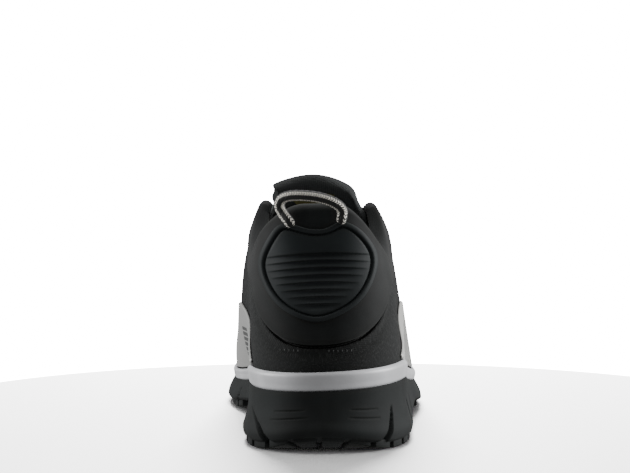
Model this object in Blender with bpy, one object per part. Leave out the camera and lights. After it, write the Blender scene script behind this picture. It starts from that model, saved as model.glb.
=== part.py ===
"""Low safety sneaker for the right foot, about a European size 42, as its separate pieces.

Metres, +Z up, +Y to the toe, +X to the outer (little toe) side. The origin is on the floor under
the middle of the heel. Places along the shoe are shares of LENGTH from the back of the sole, and
places across it are shares of half its width there, negative on the inner (big toe) side.
"""

import math
from collections import namedtuple

import bmesh
import bpy
import numpy as np

# The shoe's main sizes
LENGTH = 0.300
BALL_WIDTH = 0.100
HEEL_WIDTH = 0.074
HEEL_HEIGHT = 0.117
INSTEP_HEIGHT = 0.117
HEEL_REST = 0.045
GAP = 0.0003

# The sole's heights
HEEL_STACK = 0.0380
BALL_STACK = 0.0200
HEEL_BAND = 0.0090
BALL_BAND = 0.0060
HEEL_BEVEL = 0.0060
ARCH_LIFT = 0.0050
TOE_SPRING = 0.0150
HEEL_CANT = 0.035
LUG_DEPTH = 0.0030
MIDSOLE_FLOOR = 0.0025
INSOLE_THICKNESS = 0.0040

# The upper's wall, and what is laid on it
WALL = 0.0024
LAYER = 0.0010
COLLAR_PAD = 0.0100
OVERLAY = 0.0010
TOE_OVERLAY = 0.0014
TONGUE_THICKNESS = 0.0055
TONGUE_CROWN = 0.13
TONGUE_SKEW = 0.45
TONGUE_LEAN = 0.20
TONGUE_FLARE = (0.28, 0.05)
TONGUE_TUCK = 6.0
TONGUE_TURN = np.array([0.0, 0.05, 0.15])
TONGUE_GAP = 0.0009
LACE_RADIUS = 0.0021
CORD_RADIUS = 0.0026
EYELET_RADIUS = 0.0044
EYELET_HOLE = 0.0024
EYELET_HEIGHT = 0.0009
EYELET_PAIRS = 5
EYELET_LIFT = 2.5 * GAP
LACE_CLEARANCE = 3 * GAP
LACE_SLANT = 0.15

STATION_COUNT = 22
RIBS = 66

Station = namedtuple(
    "Station",
    "foot_along foot_side top_along top_side rise lean foot_pull drop top_pull seam pad",
)

# Ribs round the upper, from the back of the heel along the outer side to the toe and back along
# the inner side. foot is where a rib meets the sole and top where it ends, at the collar or the
# throat, rise being the top's share of the collar's height. lean is the angle outwards from
# upright at the foot, drop the angle below level at the top, and the pulls say how long each
# keeps its direction. seam is the share of the rib's length under the collar panel and eyestay,
# and pad the share of the collar's full padding.
STATIONS = [
    Station(0.012, -0.11, 0.032, -0.13, 1.000, 9, 0.36, 86, 0.30, 0.205, 1.00),
    Station(0.027, 0.41, 0.038, 0.26, 0.990, 8, 0.36, 86, 0.30, 0.245, 1.00),
    Station(0.080, 0.81, 0.077, 0.57, 0.890, 4, 0.36, 86, 0.30, 0.45, 0.95),
    Station(0.167, 1.00, 0.150, 0.77, 0.790, -1, 0.36, 80, 0.30, 0.74, 0.90),
    Station(0.283, 1.00, 0.240, 0.80, 0.765, -7, 0.36, 72, 0.30, 0.80, 0.90),
    Station(0.400, 0.925, 0.333, 0.70, 0.860, -11, 0.34, 66, 0.28, 0.80, 0.80),
    Station(0.517, 0.925, 0.397, 0.515, 0.990, -13, 0.30, 52, 0.28, 0.81, 0.46),
    Station(0.633, 0.965, 0.487, 0.33, 0.845, -9, 0.25, 44, 0.34, 0.80, 0.36),
    Station(0.750, 0.925, 0.573, 0.23, 0.715, -5, 0.27, 38, 0.36, 0.79, 0.34),
    Station(0.867, 0.72, 0.633, 0.15, 0.640, 0, 0.30, 30, 0.38, 0.79, 0.32),
    Station(0.945, 0.32, 0.655, 0.04, 0.615, 3, 0.34, 22, 0.40, 0.80, 0.32),
    Station(0.968, -0.16, 0.663, -0.08, 0.610, 4, 0.35, 18, 0.40, 0.82, 0.32),
    Station(0.932, -0.62, 0.655, -0.20, 0.620, 4, 0.34, 22, 0.40, 0.80, 0.32),
    Station(0.835, -0.90, 0.630, -0.31, 0.650, 3, 0.30, 32, 0.36, 0.79, 0.32),
    Station(0.707, -1.00, 0.573, -0.40, 0.730, 5, 0.28, 44, 0.34, 0.79, 0.34),
    Station(0.593, -0.93, 0.487, -0.525, 0.865, 12, 0.29, 55, 0.34, 0.80, 0.36),
    Station(0.483, -0.79, 0.397, -0.725, 1.000, 20, 0.33, 62, 0.35, 0.81, 0.46),
    Station(0.373, -0.77, 0.330, -0.91, 0.880, 20, 0.34, 76, 0.30, 0.80, 0.80),
    Station(0.267, -0.905, 0.240, -1.00, 0.785, 14, 0.36, 82, 0.30, 0.80, 0.90),
    Station(0.167, -0.98, 0.150, -0.96, 0.820, 6, 0.36, 84, 0.30, 0.72, 0.90),
    Station(0.080, -0.87, 0.077, -0.80, 0.920, 4, 0.36, 86, 0.30, 0.42, 0.95),
    Station(0.028, -0.54, 0.038, -0.48, 0.990, 8, 0.36, 86, 0.30, 0.24, 1.00),
]

# Lines along the sole: share of the length, then the height
TREAD = [
    (0.00, HEEL_BEVEL),
    (0.035, 0.20 * HEEL_BEVEL),
    (0.070, 0.0),
    (0.27, 0.0),
    (0.36, 0.45 * ARCH_LIFT),
    (0.45, ARCH_LIFT),
    (0.54, 0.45 * ARCH_LIFT),
    (0.615, 0.0),
    (0.730, 0.0),
    (0.82, 0.14 * TOE_SPRING),
    (0.90, 0.50 * TOE_SPRING),
    (1.00, TOE_SPRING),
]
BAND_TOP = [
    (0.00, HEEL_STACK),
    (0.12, 1.015 * HEEL_STACK),
    (0.22, 0.96 * HEEL_STACK),
    (0.34, 0.84 * HEEL_STACK),
    (0.47, 0.68 * HEEL_STACK),
    (0.58, 1.08 * BALL_STACK),
    (0.67, BALL_STACK),
    (0.80, 1.10 * BALL_STACK),
    (0.91, 1.45 * BALL_STACK),
    (1.00, 1.95 * BALL_STACK),
]

# Rings of a sole wall, bottom to top: share of the wall's height, then how far it stands out
# from the foot of the upper at the heel and at the ball
OUTSOLE_WALL = [
    (0.00, 0.0032, 0.0016),
    (0.05, 0.0048, 0.0044),
    (0.16, 0.0053, 0.0058),
    (0.38, 0.0038, 0.0054),
    (0.70, 0.0024, 0.0038),
    (1.00, 0.0020, 0.0020),
]
MIDSOLE_WALL = [
    (0.00, 0.0012, 0.0012),
    (0.12, 0.0020, 0.0020),
    (0.75, 0.0026, 0.0026),
    (1.00, 0.0018, 0.0018),
]


def smooth_step(low, high, value):
    """0 below low, 1 above high, and a smooth rise between them."""
    share = np.clip((value - low) / (high - low), 0.0, 1.0)
    return share * share * (3.0 - 2.0 * share)


def line_through(rows, x):
    """A smooth line through rows of (place, value) that never swings past them."""
    places = np.array([row[0] for row in rows])
    values = np.array([row[1] for row in rows])
    slopes = np.diff(values) / np.diff(places)
    tangents = np.zeros(len(rows))
    for i in range(1, len(rows) - 1):
        if slopes[i - 1] * slopes[i] > 0:
            tangents[i] = 2.0 / (1.0 / slopes[i - 1] + 1.0 / slopes[i])
    tangents[0], tangents[-1] = slopes[0], slopes[-1]
    i = int(np.clip(np.searchsorted(places, x) - 1, 0, len(slopes) - 1))
    width = places[i + 1] - places[i]
    t = float(np.clip((x - places[i]) / width, 0.0, 1.0))
    rise = (3 - 2 * t) * t * t * (values[i + 1] - values[i])
    bend = t * (1 - t) * ((1 - t) * tangents[i] - t * tangents[i + 1])
    return float(values[i] + rise + width * bend)


def loop_bends(values):
    """Second derivatives of the closed cubic spline through values at even steps."""
    n = len(values)
    matrix = 4.0 * np.eye(n) + np.roll(np.eye(n), 1, axis=1) + np.roll(np.eye(n), -1, axis=1)
    return np.linalg.solve(matrix, 6.0 * (np.roll(values, -1) - 2.0 * values + np.roll(values, 1)))


COLUMNS = {name: np.array([getattr(row, name) for row in STATIONS], float) for name in Station._fields}
BENDS = {name: loop_bends(column) for name, column in COLUMNS.items()}


def column_at(name, t):
    """A column of STATIONS at a place t round the shoe, between its rows too."""
    values, bends = COLUMNS[name], BENDS[name]
    i = int(math.floor(t)) % STATION_COUNT
    j = (i + 1) % STATION_COUNT
    f = t - math.floor(t)
    straight = (1 - f) * values[i] + f * values[j]
    return straight + (((1 - f) ** 3 - (1 - f)) * bends[i] + (f**3 - f) * bends[j]) / 6.0


def half_width(along):
    """Half the upper's width just above the sole, between the heel's and the ball's."""
    return 0.5 * (HEEL_WIDTH + (BALL_WIDTH - HEEL_WIDTH) * smooth_step(0.20, 0.57, along))


def place(along, side):
    """A point of the plan, from its shares of the length and of half the width."""
    return np.array([side * half_width(along), along * LENGTH - HEEL_REST])


def share_along(y):
    return (y + HEEL_REST) / LENGTH


def cant(x, along):
    """How far the sole's lines rise to the outer side of the heel."""
    return HEEL_CANT * x * (1.0 - smooth_step(0.2, 0.5, along))


def tread_height(along):
    return line_through(TREAD, along)


def band_top_height(x, along):
    return line_through(BAND_TOP, along) + cant(x, along)


def band_bottom_height(x, along):
    thickness = HEEL_BAND + (BALL_BAND - HEEL_BAND) * smooth_step(0.2, 0.6, along)
    return band_top_height(x, along) - thickness


def floor_height(x, along):
    """The midsole's floor, inside its rim."""
    return band_bottom_height(x, along) + GAP + MIDSOLE_FLOOR


def foot_point(t):
    return place(column_at("foot_along", t), column_at("foot_side", t))


def plan_outward(t):
    """The level direction out of the shoe where the rib at t meets the sole."""
    ahead = foot_point(t + 0.05) - foot_point(t - 0.05)
    outward = np.array([ahead[1], -ahead[0], 0.0])
    return outward / np.linalg.norm(outward)


def rib(t):
    """The outer wall's rib at t, as the four points of a Bezier curve from foot to top."""
    foot = foot_point(t)
    along = share_along(foot[1])
    foot = np.array([*foot, floor_height(foot[0], along) + GAP])
    top_along = column_at("top_along", t)
    height = HEEL_HEIGHT + (INSTEP_HEIGHT - HEEL_HEIGHT) * smooth_step(0.2, 0.38, top_along)
    top = np.array([*place(top_along, column_at("top_side", t)), column_at("rise", t) * height])
    outward = plan_outward(t)
    up = np.array([0.0, 0.0, 1.0])
    chord = np.linalg.norm(top - foot)
    lean = math.radians(column_at("lean", t))
    drop = math.radians(column_at("drop", t))
    first = foot + column_at("foot_pull", t) * chord * (math.cos(lean) * up + math.sin(lean) * outward)
    last = top + column_at("top_pull", t) * chord * (math.cos(drop) * outward - math.sin(drop) * up)
    return foot, first, last, top


def wall_curve(t, steps=24):
    """Points down the rib at t, and the share of its length at each."""
    a, b, c, d = rib(t)
    s = np.linspace(0.0, 1.0, steps + 1)[:, None]
    points = (1 - s) ** 3 * a + 3 * s * (1 - s) ** 2 * b + 3 * s * s * (1 - s) * c + s**3 * d
    lengths = np.concatenate([[0.0], np.cumsum(np.linalg.norm(np.diff(points, axis=0), axis=1))])
    return points, lengths / lengths[-1]


CURVES = {}


def skin(t, h):
    """The outer wall's surface at t round the shoe and a share h of the way up."""
    key = round(t % STATION_COUNT, 6)
    if key not in CURVES:
        CURVES[key] = wall_curve(key)
    points, shares = CURVES[key]
    return np.array([np.interp(h, shares, points[:, k]) for k in range(3)])


def skin_normal(t, h):
    """The outward direction of the wall at t and h."""
    low, high = max(h - 0.02, 0.0), min(h + 0.02, 1.0)
    upward = skin(t, high) - skin(t, low)
    onward = skin(t + 0.04, h) - skin(t - 0.04, h)
    normal = np.cross(onward, upward)
    return normal / np.linalg.norm(normal)


def on_upper(t, h, proud=0.0):
    """A point that stands proud of the bare wall at t and h."""
    return skin(t, h) + proud * skin_normal(t, h)


def layer_at(t, h):
    """The collar panel and the eyestay are one step thicker than the wall under them."""
    seam = column_at("seam", t)
    return LAYER * smooth_step(seam - 0.004, seam + 0.010, h)


def thickness_at(t, h):
    """The wall's thickness inwards of the bare skin: cloth below, padding near the collar."""
    pad = column_at("pad", t) * COLLAR_PAD
    return WALL + (pad - WALL) * smooth_step(0.45, 0.90, h)


def height_share(t, z):
    """How far up the rib at t the height z is met."""
    low, high = 0.0, 1.0
    for _ in range(24):
        middle = 0.5 * (low + high)
        if skin(t, middle)[2] < z:
            low = middle
        else:
            high = middle
    return 0.5 * (low + high)


def rim_share(t, clearance):
    """How far up the rib at t it is clear of the midsole's rim."""
    x, y = foot_point(t)
    return height_share(t, band_top_height(x, share_along(y)) + clearance)


def places_between(low, high, count):
    """Places t round the shoe from low to high."""
    return [float(t) for t in np.linspace(low, high, count)]


def material(name, colour, roughness, metallic=0.0):
    """A Principled BSDF of one colour, given as sRGB bytes."""
    made = bpy.data.materials.new(name)
    made.use_nodes = True
    shader = made.node_tree.nodes["Principled BSDF"]
    linear = [((c / 255 + 0.055) / 1.055) ** 2.4 if c > 10 else c / 255 / 12.92 for c in colour]
    shader.inputs["Base Color"].default_value = (*linear, 1.0)
    shader.inputs["Roughness"].default_value = roughness
    shader.inputs["Metallic"].default_value = metallic
    return made


def add_object(name, mesh, finish, collection):
    piece = bpy.data.objects.new(name, mesh)
    piece.data.materials.append(finish)
    collection.objects.link(piece)
    mesh.shade_smooth()
    mesh.set_sharp_from_angle(angle=math.radians(38))
    return piece


def lofted(name, rings, around=True, caps=False, strip=False):
    """A mesh through rings of points. around joins the last ring to the first, caps closes the
    two end rings, and strip closes them as a sole, from its outer to its inner side."""
    bm = bmesh.new()
    rows = [[bm.verts.new(point) for point in ring] for ring in rings]
    count = len(rows[0])
    pairs = list(zip(rows, rows[1:]))
    if around:
        pairs.append((rows[-1], rows[0]))
    for lower, upper in pairs:
        for i in range(count):
            j = (i + 1) % count
            bm.faces.new((lower[i], lower[j], upper[j], upper[i]))
    if caps:
        bm.faces.new(rows[0][::-1])
        bm.faces.new(rows[-1])
    if strip:
        for row in (rows[0], rows[-1]):
            for i in range(count // 2):
                corners = [row[i], row[i + 1], row[(count - i - 1) % count], row[(count - i) % count]]
                bm.faces.new(list(dict.fromkeys(corners)))
    bmesh.ops.recalc_face_normals(bm, faces=bm.faces)
    mesh = bpy.data.meshes.new(name)
    bm.to_mesh(mesh)
    bm.free()
    return mesh


def boolean(piece, other, operation):
    modifier = piece.modifiers.new(operation.title(), "BOOLEAN")
    modifier.operation = operation
    modifier.object = other
    modifier.solver = "MANIFOLD"


def add_cutter(name, mesh, collection):
    """A helper solid, which no render shows."""
    helper = bpy.data.objects.new(name, mesh)
    collection.objects.link(helper)
    helper.hide_render = True
    helper.display_type = "WIRE"
    return helper


def sole_places(count=RIBS):
    """Foot points and outward directions evenly round the shoe."""
    steps = [i * STATION_COUNT / count for i in range(count)]
    return [(t, foot_point(t), plan_outward(t)[:2]) for t in steps]


def sole_ring(proud_heel, proud_ball, height, follow=False):
    """A ring round the sole at height(x, along), standing out from the upper's foot, or from its
    skin at that height where it has to follow the skin."""
    ring = []
    for t, foot, outward in sole_places():
        along = share_along(foot[1])
        proud = proud_heel + (proud_ball - proud_heel) * smooth_step(0.2, 0.55, along)
        if follow:
            foot = skin(t, height_share(t, height(foot[0], along)))[:2]
        x, y = foot + proud * outward
        ring.append((x, y, height(x, along)))
    return ring


def plate_height(along):
    """The underside of the outsole between its lugs."""
    return tread_height(along) + LUG_DEPTH


def outsole_height(share):
    def height(x, along):
        low = plate_height(along)
        return low + share * (band_bottom_height(x, along) - low)

    return height


def midsole_height(share):
    def height(x, along):
        low = band_bottom_height(x, along) + GAP
        return low + share * (band_top_height(x, along) - low)

    return height


LUG_PITCH = 0.0125
LUG_GAP = 0.0028
LUG_REACH = 0.0095
LUG_EDGE_HEEL = 0.0036
LUG_EDGE_BALL = 0.0034
LUG_BITE = 0.0010

# Rows of inner lugs: share of the length at the first and last row, how many rows, how many lugs
# in each, and their size across and along
INNER_LUGS = [
    (0.0617, 0.2383, 5, 3, 0.0125, 0.0085),
    (0.5750, 0.8750, 7, 3, 0.0210, 0.0085),
]


def add_block(bm, corners):
    """A lug on four plan corners, from the tread up into the sole plate."""
    low, high = [], []
    for x, y in corners:
        along = share_along(y)
        low.append(bm.verts.new((x, y, tread_height(along))))
        high.append(bm.verts.new((x, y, plate_height(along) + LUG_BITE)))
    bm.faces.new(low[::-1])
    bm.faces.new(high)
    for i in range(4):
        j = (i + 1) % 4
        bm.faces.new((low[i], low[j], high[j], high[i]))


def edge_lugs(bm):
    """Lugs in a row round the edge, left out under the arch."""
    fine = [i * STATION_COUNT / 440 for i in range(441)]
    line = np.array([foot_point(t) for t in fine])
    run = np.concatenate([[0.0], np.cumsum(np.linalg.norm(np.diff(line, axis=0), axis=1))])
    count = int(run[-1] // LUG_PITCH)
    for k in range(count):
        middle = (k + 0.5) * run[-1] / count
        ends = [np.interp(middle + side * 0.5 * (LUG_PITCH - LUG_GAP), run, fine) for side in (-1, 1)]
        along = share_along(foot_point(0.5 * sum(ends))[1])
        if 0.335 < along < 0.555:
            continue
        edge = LUG_EDGE_HEEL + (LUG_EDGE_BALL - LUG_EDGE_HEEL) * smooth_step(0.2, 0.55, along)
        outer = [foot_point(t) + edge * plan_outward(t)[:2] for t in ends]
        inner = [foot_point(t) + (edge - LUG_REACH) * plan_outward(t)[:2] for t in ends]
        add_block(bm, [outer[0], outer[1], inner[1], inner[0]])


def sides_at(along):
    """The upper's foot on the inner and on the outer side, at a share of the length."""
    outer = [foot_point(t) for t in np.linspace(0.0, 11.0, 111)]
    inner = [foot_point(t) for t in np.linspace(22.0, 11.0, 111)]
    y = along * LENGTH - HEEL_REST
    return [np.interp(y, [p[1] for p in side], [p[0] for p in side]) for side in (inner, outer)]


def inner_lugs(bm):
    """Rows of wide lugs inside those of the edge. One of them is centred on the origin."""
    for first, last, rows, columns, across, length in INNER_LUGS:
        for row in range(rows):
            along = first + (last - first) * row / (rows - 1)
            ends = [sides_at(along + side * 0.55 * length / LENGTH) for side in (-1, 1)]
            left, right = max(end[0] for end in ends), min(end[1] for end in ends)
            room = right - left - 2 * (LUG_REACH + LUG_GAP) + LUG_EDGE_HEEL
            fit = min(across, (room - (columns - 1) * LUG_GAP) / columns)
            middle = 0.0 if along < 0.4 else 0.5 * (left + right)
            for column in range(columns):
                x = middle + (column - 0.5 * (columns - 1)) * (fit + LUG_GAP)
                y = along * LENGTH - HEEL_REST
                slant = 0.0 if along < 0.4 else 0.0022 * (column - 0.5 * (columns - 1))
                add_block(
                    bm,
                    [
                        (x - fit / 2, y - length / 2 - slant),
                        (x + fit / 2, y - length / 2 + slant),
                        (x + fit / 2, y + length / 2 + slant),
                        (x - fit / 2, y + length / 2 - slant),
                    ],
                )


# Grooves in the outsole's wall: place t round the shoe at the bottom and at the top, the widths
# there, how deep, and the shares of the wall's height where it starts and ends
WALL_GROOVES = [
    (1.55, 1.95, 0.0036, 0.0008, 0.0018, -0.1, 0.62),
    (20.45, 19.75, 0.0036, 0.0008, 0.0018, -0.1, 0.62),
    (3.05, 2.75, 0.0044, 0.0010, 0.0022, -0.1, 0.66),
    (18.95, 19.25, 0.0044, 0.0010, 0.0022, -0.1, 0.66),
    (3.95, 4.20, 0.0044, 0.0010, 0.0020, -0.1, 0.70),
    (18.05, 17.80, 0.0044, 0.0010, 0.0020, -0.1, 0.70),
    (6.70, 6.50, 0.0044, 0.0010, 0.0018, -0.1, 0.70),
    (15.30, 15.50, 0.0044, 0.0010, 0.0018, -0.1, 0.70),
    (7.75, 7.55, 0.0044, 0.0010, 0.0018, -0.1, 0.70),
    (14.25, 14.45, 0.0044, 0.0010, 0.0018, -0.1, 0.70),
]

# Short level ribs cut in the heel's wall: place t of the middle, half the spread in t, share of
# the wall's height, and how high the cut is
HEEL_RIBS = [
    (0.80, 0.45, 0.60, 0.0011),
    (0.80, 0.55, 0.44, 0.0011),
    (21.20, 0.45, 0.60, 0.0011),
    (21.20, 0.55, 0.44, 0.0011),
]


def wall_point(t, share, proud):
    """A point on the outsole's wall at t and a share of its height, standing out by proud."""
    foot, outward = foot_point(t), plan_outward(t)[:2]
    along = share_along(foot[1])
    heel = np.interp(share, [row[0] for row in OUTSOLE_WALL], [row[1] for row in OUTSOLE_WALL])
    ball = np.interp(share, [row[0] for row in OUTSOLE_WALL], [row[2] for row in OUTSOLE_WALL])
    base = heel + (ball - heel) * smooth_step(0.2, 0.55, along)
    x, y = foot + (base + proud) * outward
    return np.array([x, y, outsole_height(share)(x, along)])


def wedge(name, t_low, t_high, wide_low, wide_high, depth, low, high):
    """A tapered cutter that leaves a groove up the outsole's wall."""
    rings = []
    for k in range(5):
        part = k / 4
        share, t = low + (high - low) * part, t_low + (t_high - t_low) * part
        half = 0.5 * (wide_low + (wide_high - wide_low) * part)
        outward = plan_outward(t)
        onward = np.array([-outward[1], outward[0], 0.0]) * half
        outside = wall_point(t, share, 0.0022)
        inside = wall_point(t, share, -depth * (1.0 - 0.75 * part))
        rings.append(
            [outside - 1.5 * onward, outside + 1.5 * onward, inside + 0.25 * onward, inside - 0.25 * onward]
        )
    return lofted(name, rings, around=False, caps=True)


def level_cut(name, t_middle, spread, share, height):
    """A thin lens-shaped cutter that leaves a level rib line in the heel's wall."""
    rings = []
    for k in range(9):
        part = k / 4 - 1
        t = t_middle + part * spread
        half = 0.5 * height * math.sqrt(max(1.0 - part * part, 0.0)) + 0.00008
        inside = wall_point(t, share, -0.0009 * (1.0 - part * part) - 0.0001)
        outside = wall_point(t, share, 0.003)
        rise = np.array([0.0, 0.0, half])
        rings.append([outside - rise, outside + rise, inside + 0.4 * rise, inside - 0.4 * rise])
    return lofted(name, rings, around=False, caps=True)


def make_outsole(parts, helpers, rubber):
    """The black rubber unit: a cupped wall that flares at the heel, lugs, grooves and ribs."""
    rings = [sole_ring(heel, ball, outsole_height(share)) for share, heel, ball in OUTSOLE_WALL]
    outsole = add_object("outsole", lofted("outsole", rings, around=False, strip=True), rubber, parts)
    bm = bmesh.new()
    edge_lugs(bm)
    inner_lugs(bm)
    bmesh.ops.recalc_face_normals(bm, faces=bm.faces)
    mesh = bpy.data.meshes.new("lugs")
    bm.to_mesh(mesh)
    bm.free()
    boolean(outsole, add_cutter("lugs", mesh, helpers), "UNION")
    for number, row in enumerate(WALL_GROOVES):
        mesh = wedge("groove", *row)
        boolean(outsole, add_cutter(f"groove_{number}", mesh, helpers), "DIFFERENCE")
    for number, row in enumerate(HEEL_RIBS):
        mesh = level_cut("rib_line", *row)
        boolean(outsole, add_cutter(f"rib_line_{number}", mesh, helpers), "DIFFERENCE")
    return outsole


def make_midsole(parts, foam):
    """The grey band that shows all round, with a floor inside its rim for the upper."""
    rings = [
        sole_ring(heel, ball, midsole_height(share), follow=True) for share, heel, ball in MIDSOLE_WALL
    ]
    rings.append(sole_ring(1.5 * GAP, 1.5 * GAP, midsole_height(1.0), follow=True))
    rings.append(sole_ring(1.5 * GAP, 1.5 * GAP, floor_height))
    return add_object("midsole", lofted("midsole", rings, around=False, strip=True), foam, parts)


def make_insole(parts, cloth):
    """The loose footbed inside the upper, on the midsole's floor."""

    def low(x, along):
        return floor_height(x, along) + GAP

    def high(x, along):
        return low(x, along) + INSOLE_THICKNESS

    inset = -(WALL + 0.0016)
    rings = [sole_ring(inset, inset, low), sole_ring(inset, 1.4 * inset, high)]
    return add_object("insole", lofted("insole", rings, around=False, strip=True), cloth, parts)


LOWER_ROWS = [0.0, 0.18, 0.40, 0.62, 0.84]
UPPER_ROWS = [0.30, 0.62, 0.86]
ROLL_ANGLES = [35, 90, 145]


def upper_section(t):
    """One closed section of the upper's wall at t: up the outside, over the edge, down inside."""
    seam = column_at("seam", t)
    outside = [row * seam for row in LOWER_ROWS] + [seam - 0.004, seam + 0.010]
    outside += [seam + row * (1.0 - seam) for row in UPPER_ROWS]
    points = [on_upper(t, h, layer_at(t, h)) for h in outside]
    normal = skin_normal(t, 1.0)
    upward = skin(t, 1.0) - skin(t, 0.96)
    upward /= np.linalg.norm(upward)
    outer = on_upper(t, 1.0, LAYER)
    inner = on_upper(t, 1.0, -thickness_at(t, 1.0))
    middle, radius = 0.5 * (outer + inner), 0.5 * np.linalg.norm(outer - inner)
    points.append(outer - 0.75 * radius * upward)
    for angle in ROLL_ANGLES:
        a = math.radians(angle)
        points.append(middle + radius * (math.cos(a) * normal + 0.75 * (math.sin(a) - 1.0) * upward))
    inside = [0.93, 0.82, 0.67, 0.45, 0.22, 0.0]
    points.append(inner - 0.75 * radius * upward)
    points += [on_upper(t, h, -thickness_at(t, h)) for h in inside]
    points[-1][2] = points[0][2]
    return points


def make_upper(parts, cloth):
    """The upper: one hollow wall from the sole to the padded collar and the throat."""
    sections = [upper_section(i * STATION_COUNT / RIBS) for i in range(RIBS)]
    return add_object("upper", lofted("upper", sections, around=True), cloth, parts)


def overlay(name, places, low, high, rows, thickness, collection, finish, lift=0.0):
    """A sheet laid on the upper between the lines low(t) and high(t), clear of it by GAP."""
    sections = []
    for t in places:
        shares = [low(t) + (high(t) - low(t)) * k / rows for k in range(rows + 1)]
        inner = [on_upper(t, h, GAP + lift) for h in shares]
        outer = [on_upper(t, h, GAP + lift + thickness) for h in shares]
        sections.append(outer + inner[::-1])
    return add_object(name, lofted(name, sections, around=False, caps=True), finish, collection)


# The side panel's upper edge: place t along the outer side, then the share of the way from the
# midsole's rim up to the eyestay. The inner side has the same at 22 - t.
SIDE_PANEL_EDGE = [
    (2 + 2 / 3, 0.05),
    (3.5, 0.28),
    (4.5, 0.42),
    (5.5, 0.48),
    (6.25, 0.50),
    (7 + 1 / 3, 0.42),
]


def make_side_panels(parts, film):
    """The light grey welded panels, which sweep up and forward from the heel's corners."""
    for name, mirror in (("side_panel_outer", False), ("side_panel_inner", True)):

        def low(t):
            return rim_share(t, 0.0008)

        def high(t):
            share = line_through(SIDE_PANEL_EDGE, STATION_COUNT - t if mirror else t)
            return low(t) + share * (column_at("seam", t) - 0.012 - low(t))

        first, last = SIDE_PANEL_EDGE[0][0], SIDE_PANEL_EDGE[-1][0]
        places = places_between(first, last, 15)
        if mirror:
            places = [STATION_COUNT - t for t in places]
        overlay(name, places, low, high, 5, OVERLAY, parts, film, lift=0.5 * GAP)


# The toe cap's edge, as the side panel's
TOE_CAP_EDGE = [
    (8 + 2 / 3, 0.10),
    (9.2, 0.36),
    (9.9, 0.56),
    (11.0, 0.64),
    (12.1, 0.56),
    (12.8, 0.36),
    (13 + 1 / 3, 0.10),
]


def make_toe_cap(parts, rubber):
    """The scuff cap over the toe."""

    def low(t):
        return rim_share(t, 0.0008)

    def high(t):
        return low(t) + line_through(TOE_CAP_EDGE, t) * (column_at("seam", t) - low(t))

    places = places_between(TOE_CAP_EDGE[0][0], TOE_CAP_EDGE[-1][0], 15)
    overlay("toe_cap", places, low, high, 5, TOE_OVERLAY, parts, rubber, lift=0.7 * GAP)


# The heel patch's outline, seen from behind: across from its middle, as a share of half its
# width, and up from its middle, as a share of half its height
PATCH_WIDTH = 0.0497
PATCH_HEIGHT = 0.0463
PATCH_DROP = 0.0323
PATCH_MIDDLE = HEEL_HEIGHT - PATCH_DROP
PATCH_SHIFT = -0.0046
PATCH_BACK = 0.0008
PATCH_THICKNESS = 0.0024
PATCH_RIM = 0.0030
PATCH_RIM_PROUD = 0.0007
PATCH_GROOVE = 0.0010
PATCH_BASE = 0.0009
PATCH_RIBS = 8
PATCH_RIB_PITCH = 0.0034
PATCH_RIB_DEPTH = 0.0009
PATCH_RIB_DROP = -0.0020
PATCH_OVERRUN_LOW = 0.0020
PATCH_OVERRUN_TOP = 0.0050
PATCH_LOW_ROW = -0.42
PATCH_OUTLINE = [
    (-0.61, 0.95),
    (-0.36, 0.92),
    (-0.13, 0.85),
    (0.12, 0.86),
    (0.29, 0.95),
    (0.43, 1.00),
    (0.60, 0.93),
    (0.78, 0.74),
    (0.95, 0.44),
    (1.00, 0.12),
    (0.91, -0.27),
    (0.70, -0.63),
    (0.37, -0.88),
    (-0.03, -1.00),
    (-0.42, -0.88),
    (-0.71, -0.63),
    (-0.91, -0.28),
    (-1.00, 0.12),
    (-0.92, 0.46),
    (-0.79, 0.74),
]


def heel_place(x, up):
    """The place t and the share h of a point of the heel's skin, seen from behind at x and up."""
    places = np.linspace(-3.2, 3.2, 65)
    xs = []
    for t in places:
        key = round(t % STATION_COUNT, 6)
        skin(t, 0.0)
        points, _ = CURVES[key]
        xs.append(np.interp(up, points[:, 2], points[:, 0]))
    t = float(np.interp(x, xs, places))
    return t, height_share(t, up)


def on_heel(x, up, proud):
    t, h = heel_place(x, up)
    return on_upper(t, h, layer_at(t, h) + proud)


def seen_over_heel(x, up, proud):
    """The point that stands proud of the heel and is itself seen from behind at x and up."""
    seat, level = x, up
    for _ in range(6):
        point = on_heel(seat, level, proud)
        seat += x - point[0]
        level += up - point[2]
    return on_heel(seat, level, proud)


def patch_outline(inset, count=36):
    """The patch's outline, inset by a distance, as (across, up) pairs."""
    xs = np.array([row[0] for row in PATCH_OUTLINE]) * (0.5 * PATCH_WIDTH)
    zs = np.array([row[1] for row in PATCH_OUTLINE]) * (0.5 * PATCH_HEIGHT)
    bends = [loop_bends(xs), loop_bends(zs)]
    points = []
    for k in range(count):
        t = k * len(xs) / count
        i, f = int(t), t - int(t)
        j = (i + 1) % len(xs)
        pair = []
        for values, bend in ((xs, bends[0]), (zs, bends[1])):
            curve = (((1 - f) ** 3 - (1 - f)) * bend[i] + (f**3 - f) * bend[j]) / 6.0
            pair.append((1 - f) * values[i] + f * values[j] + curve)
        points.append(pair)
    points = np.array(points)
    ahead = np.roll(points, -1, axis=0) - np.roll(points, 1, axis=0)
    outward = np.stack([-ahead[:, 1], ahead[:, 0]], axis=1)
    outward /= np.linalg.norm(outward, axis=1)[:, None]
    inside = points - inset * outward
    return [(x + PATCH_SHIFT, z + PATCH_MIDDLE) for x, z in inside][::-1]


def rib_bow(x):
    """How far a level rib of the patch drops at x, a share of the patch's half width."""
    return 0.0024 * x * x - 0.0009 * x


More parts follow.
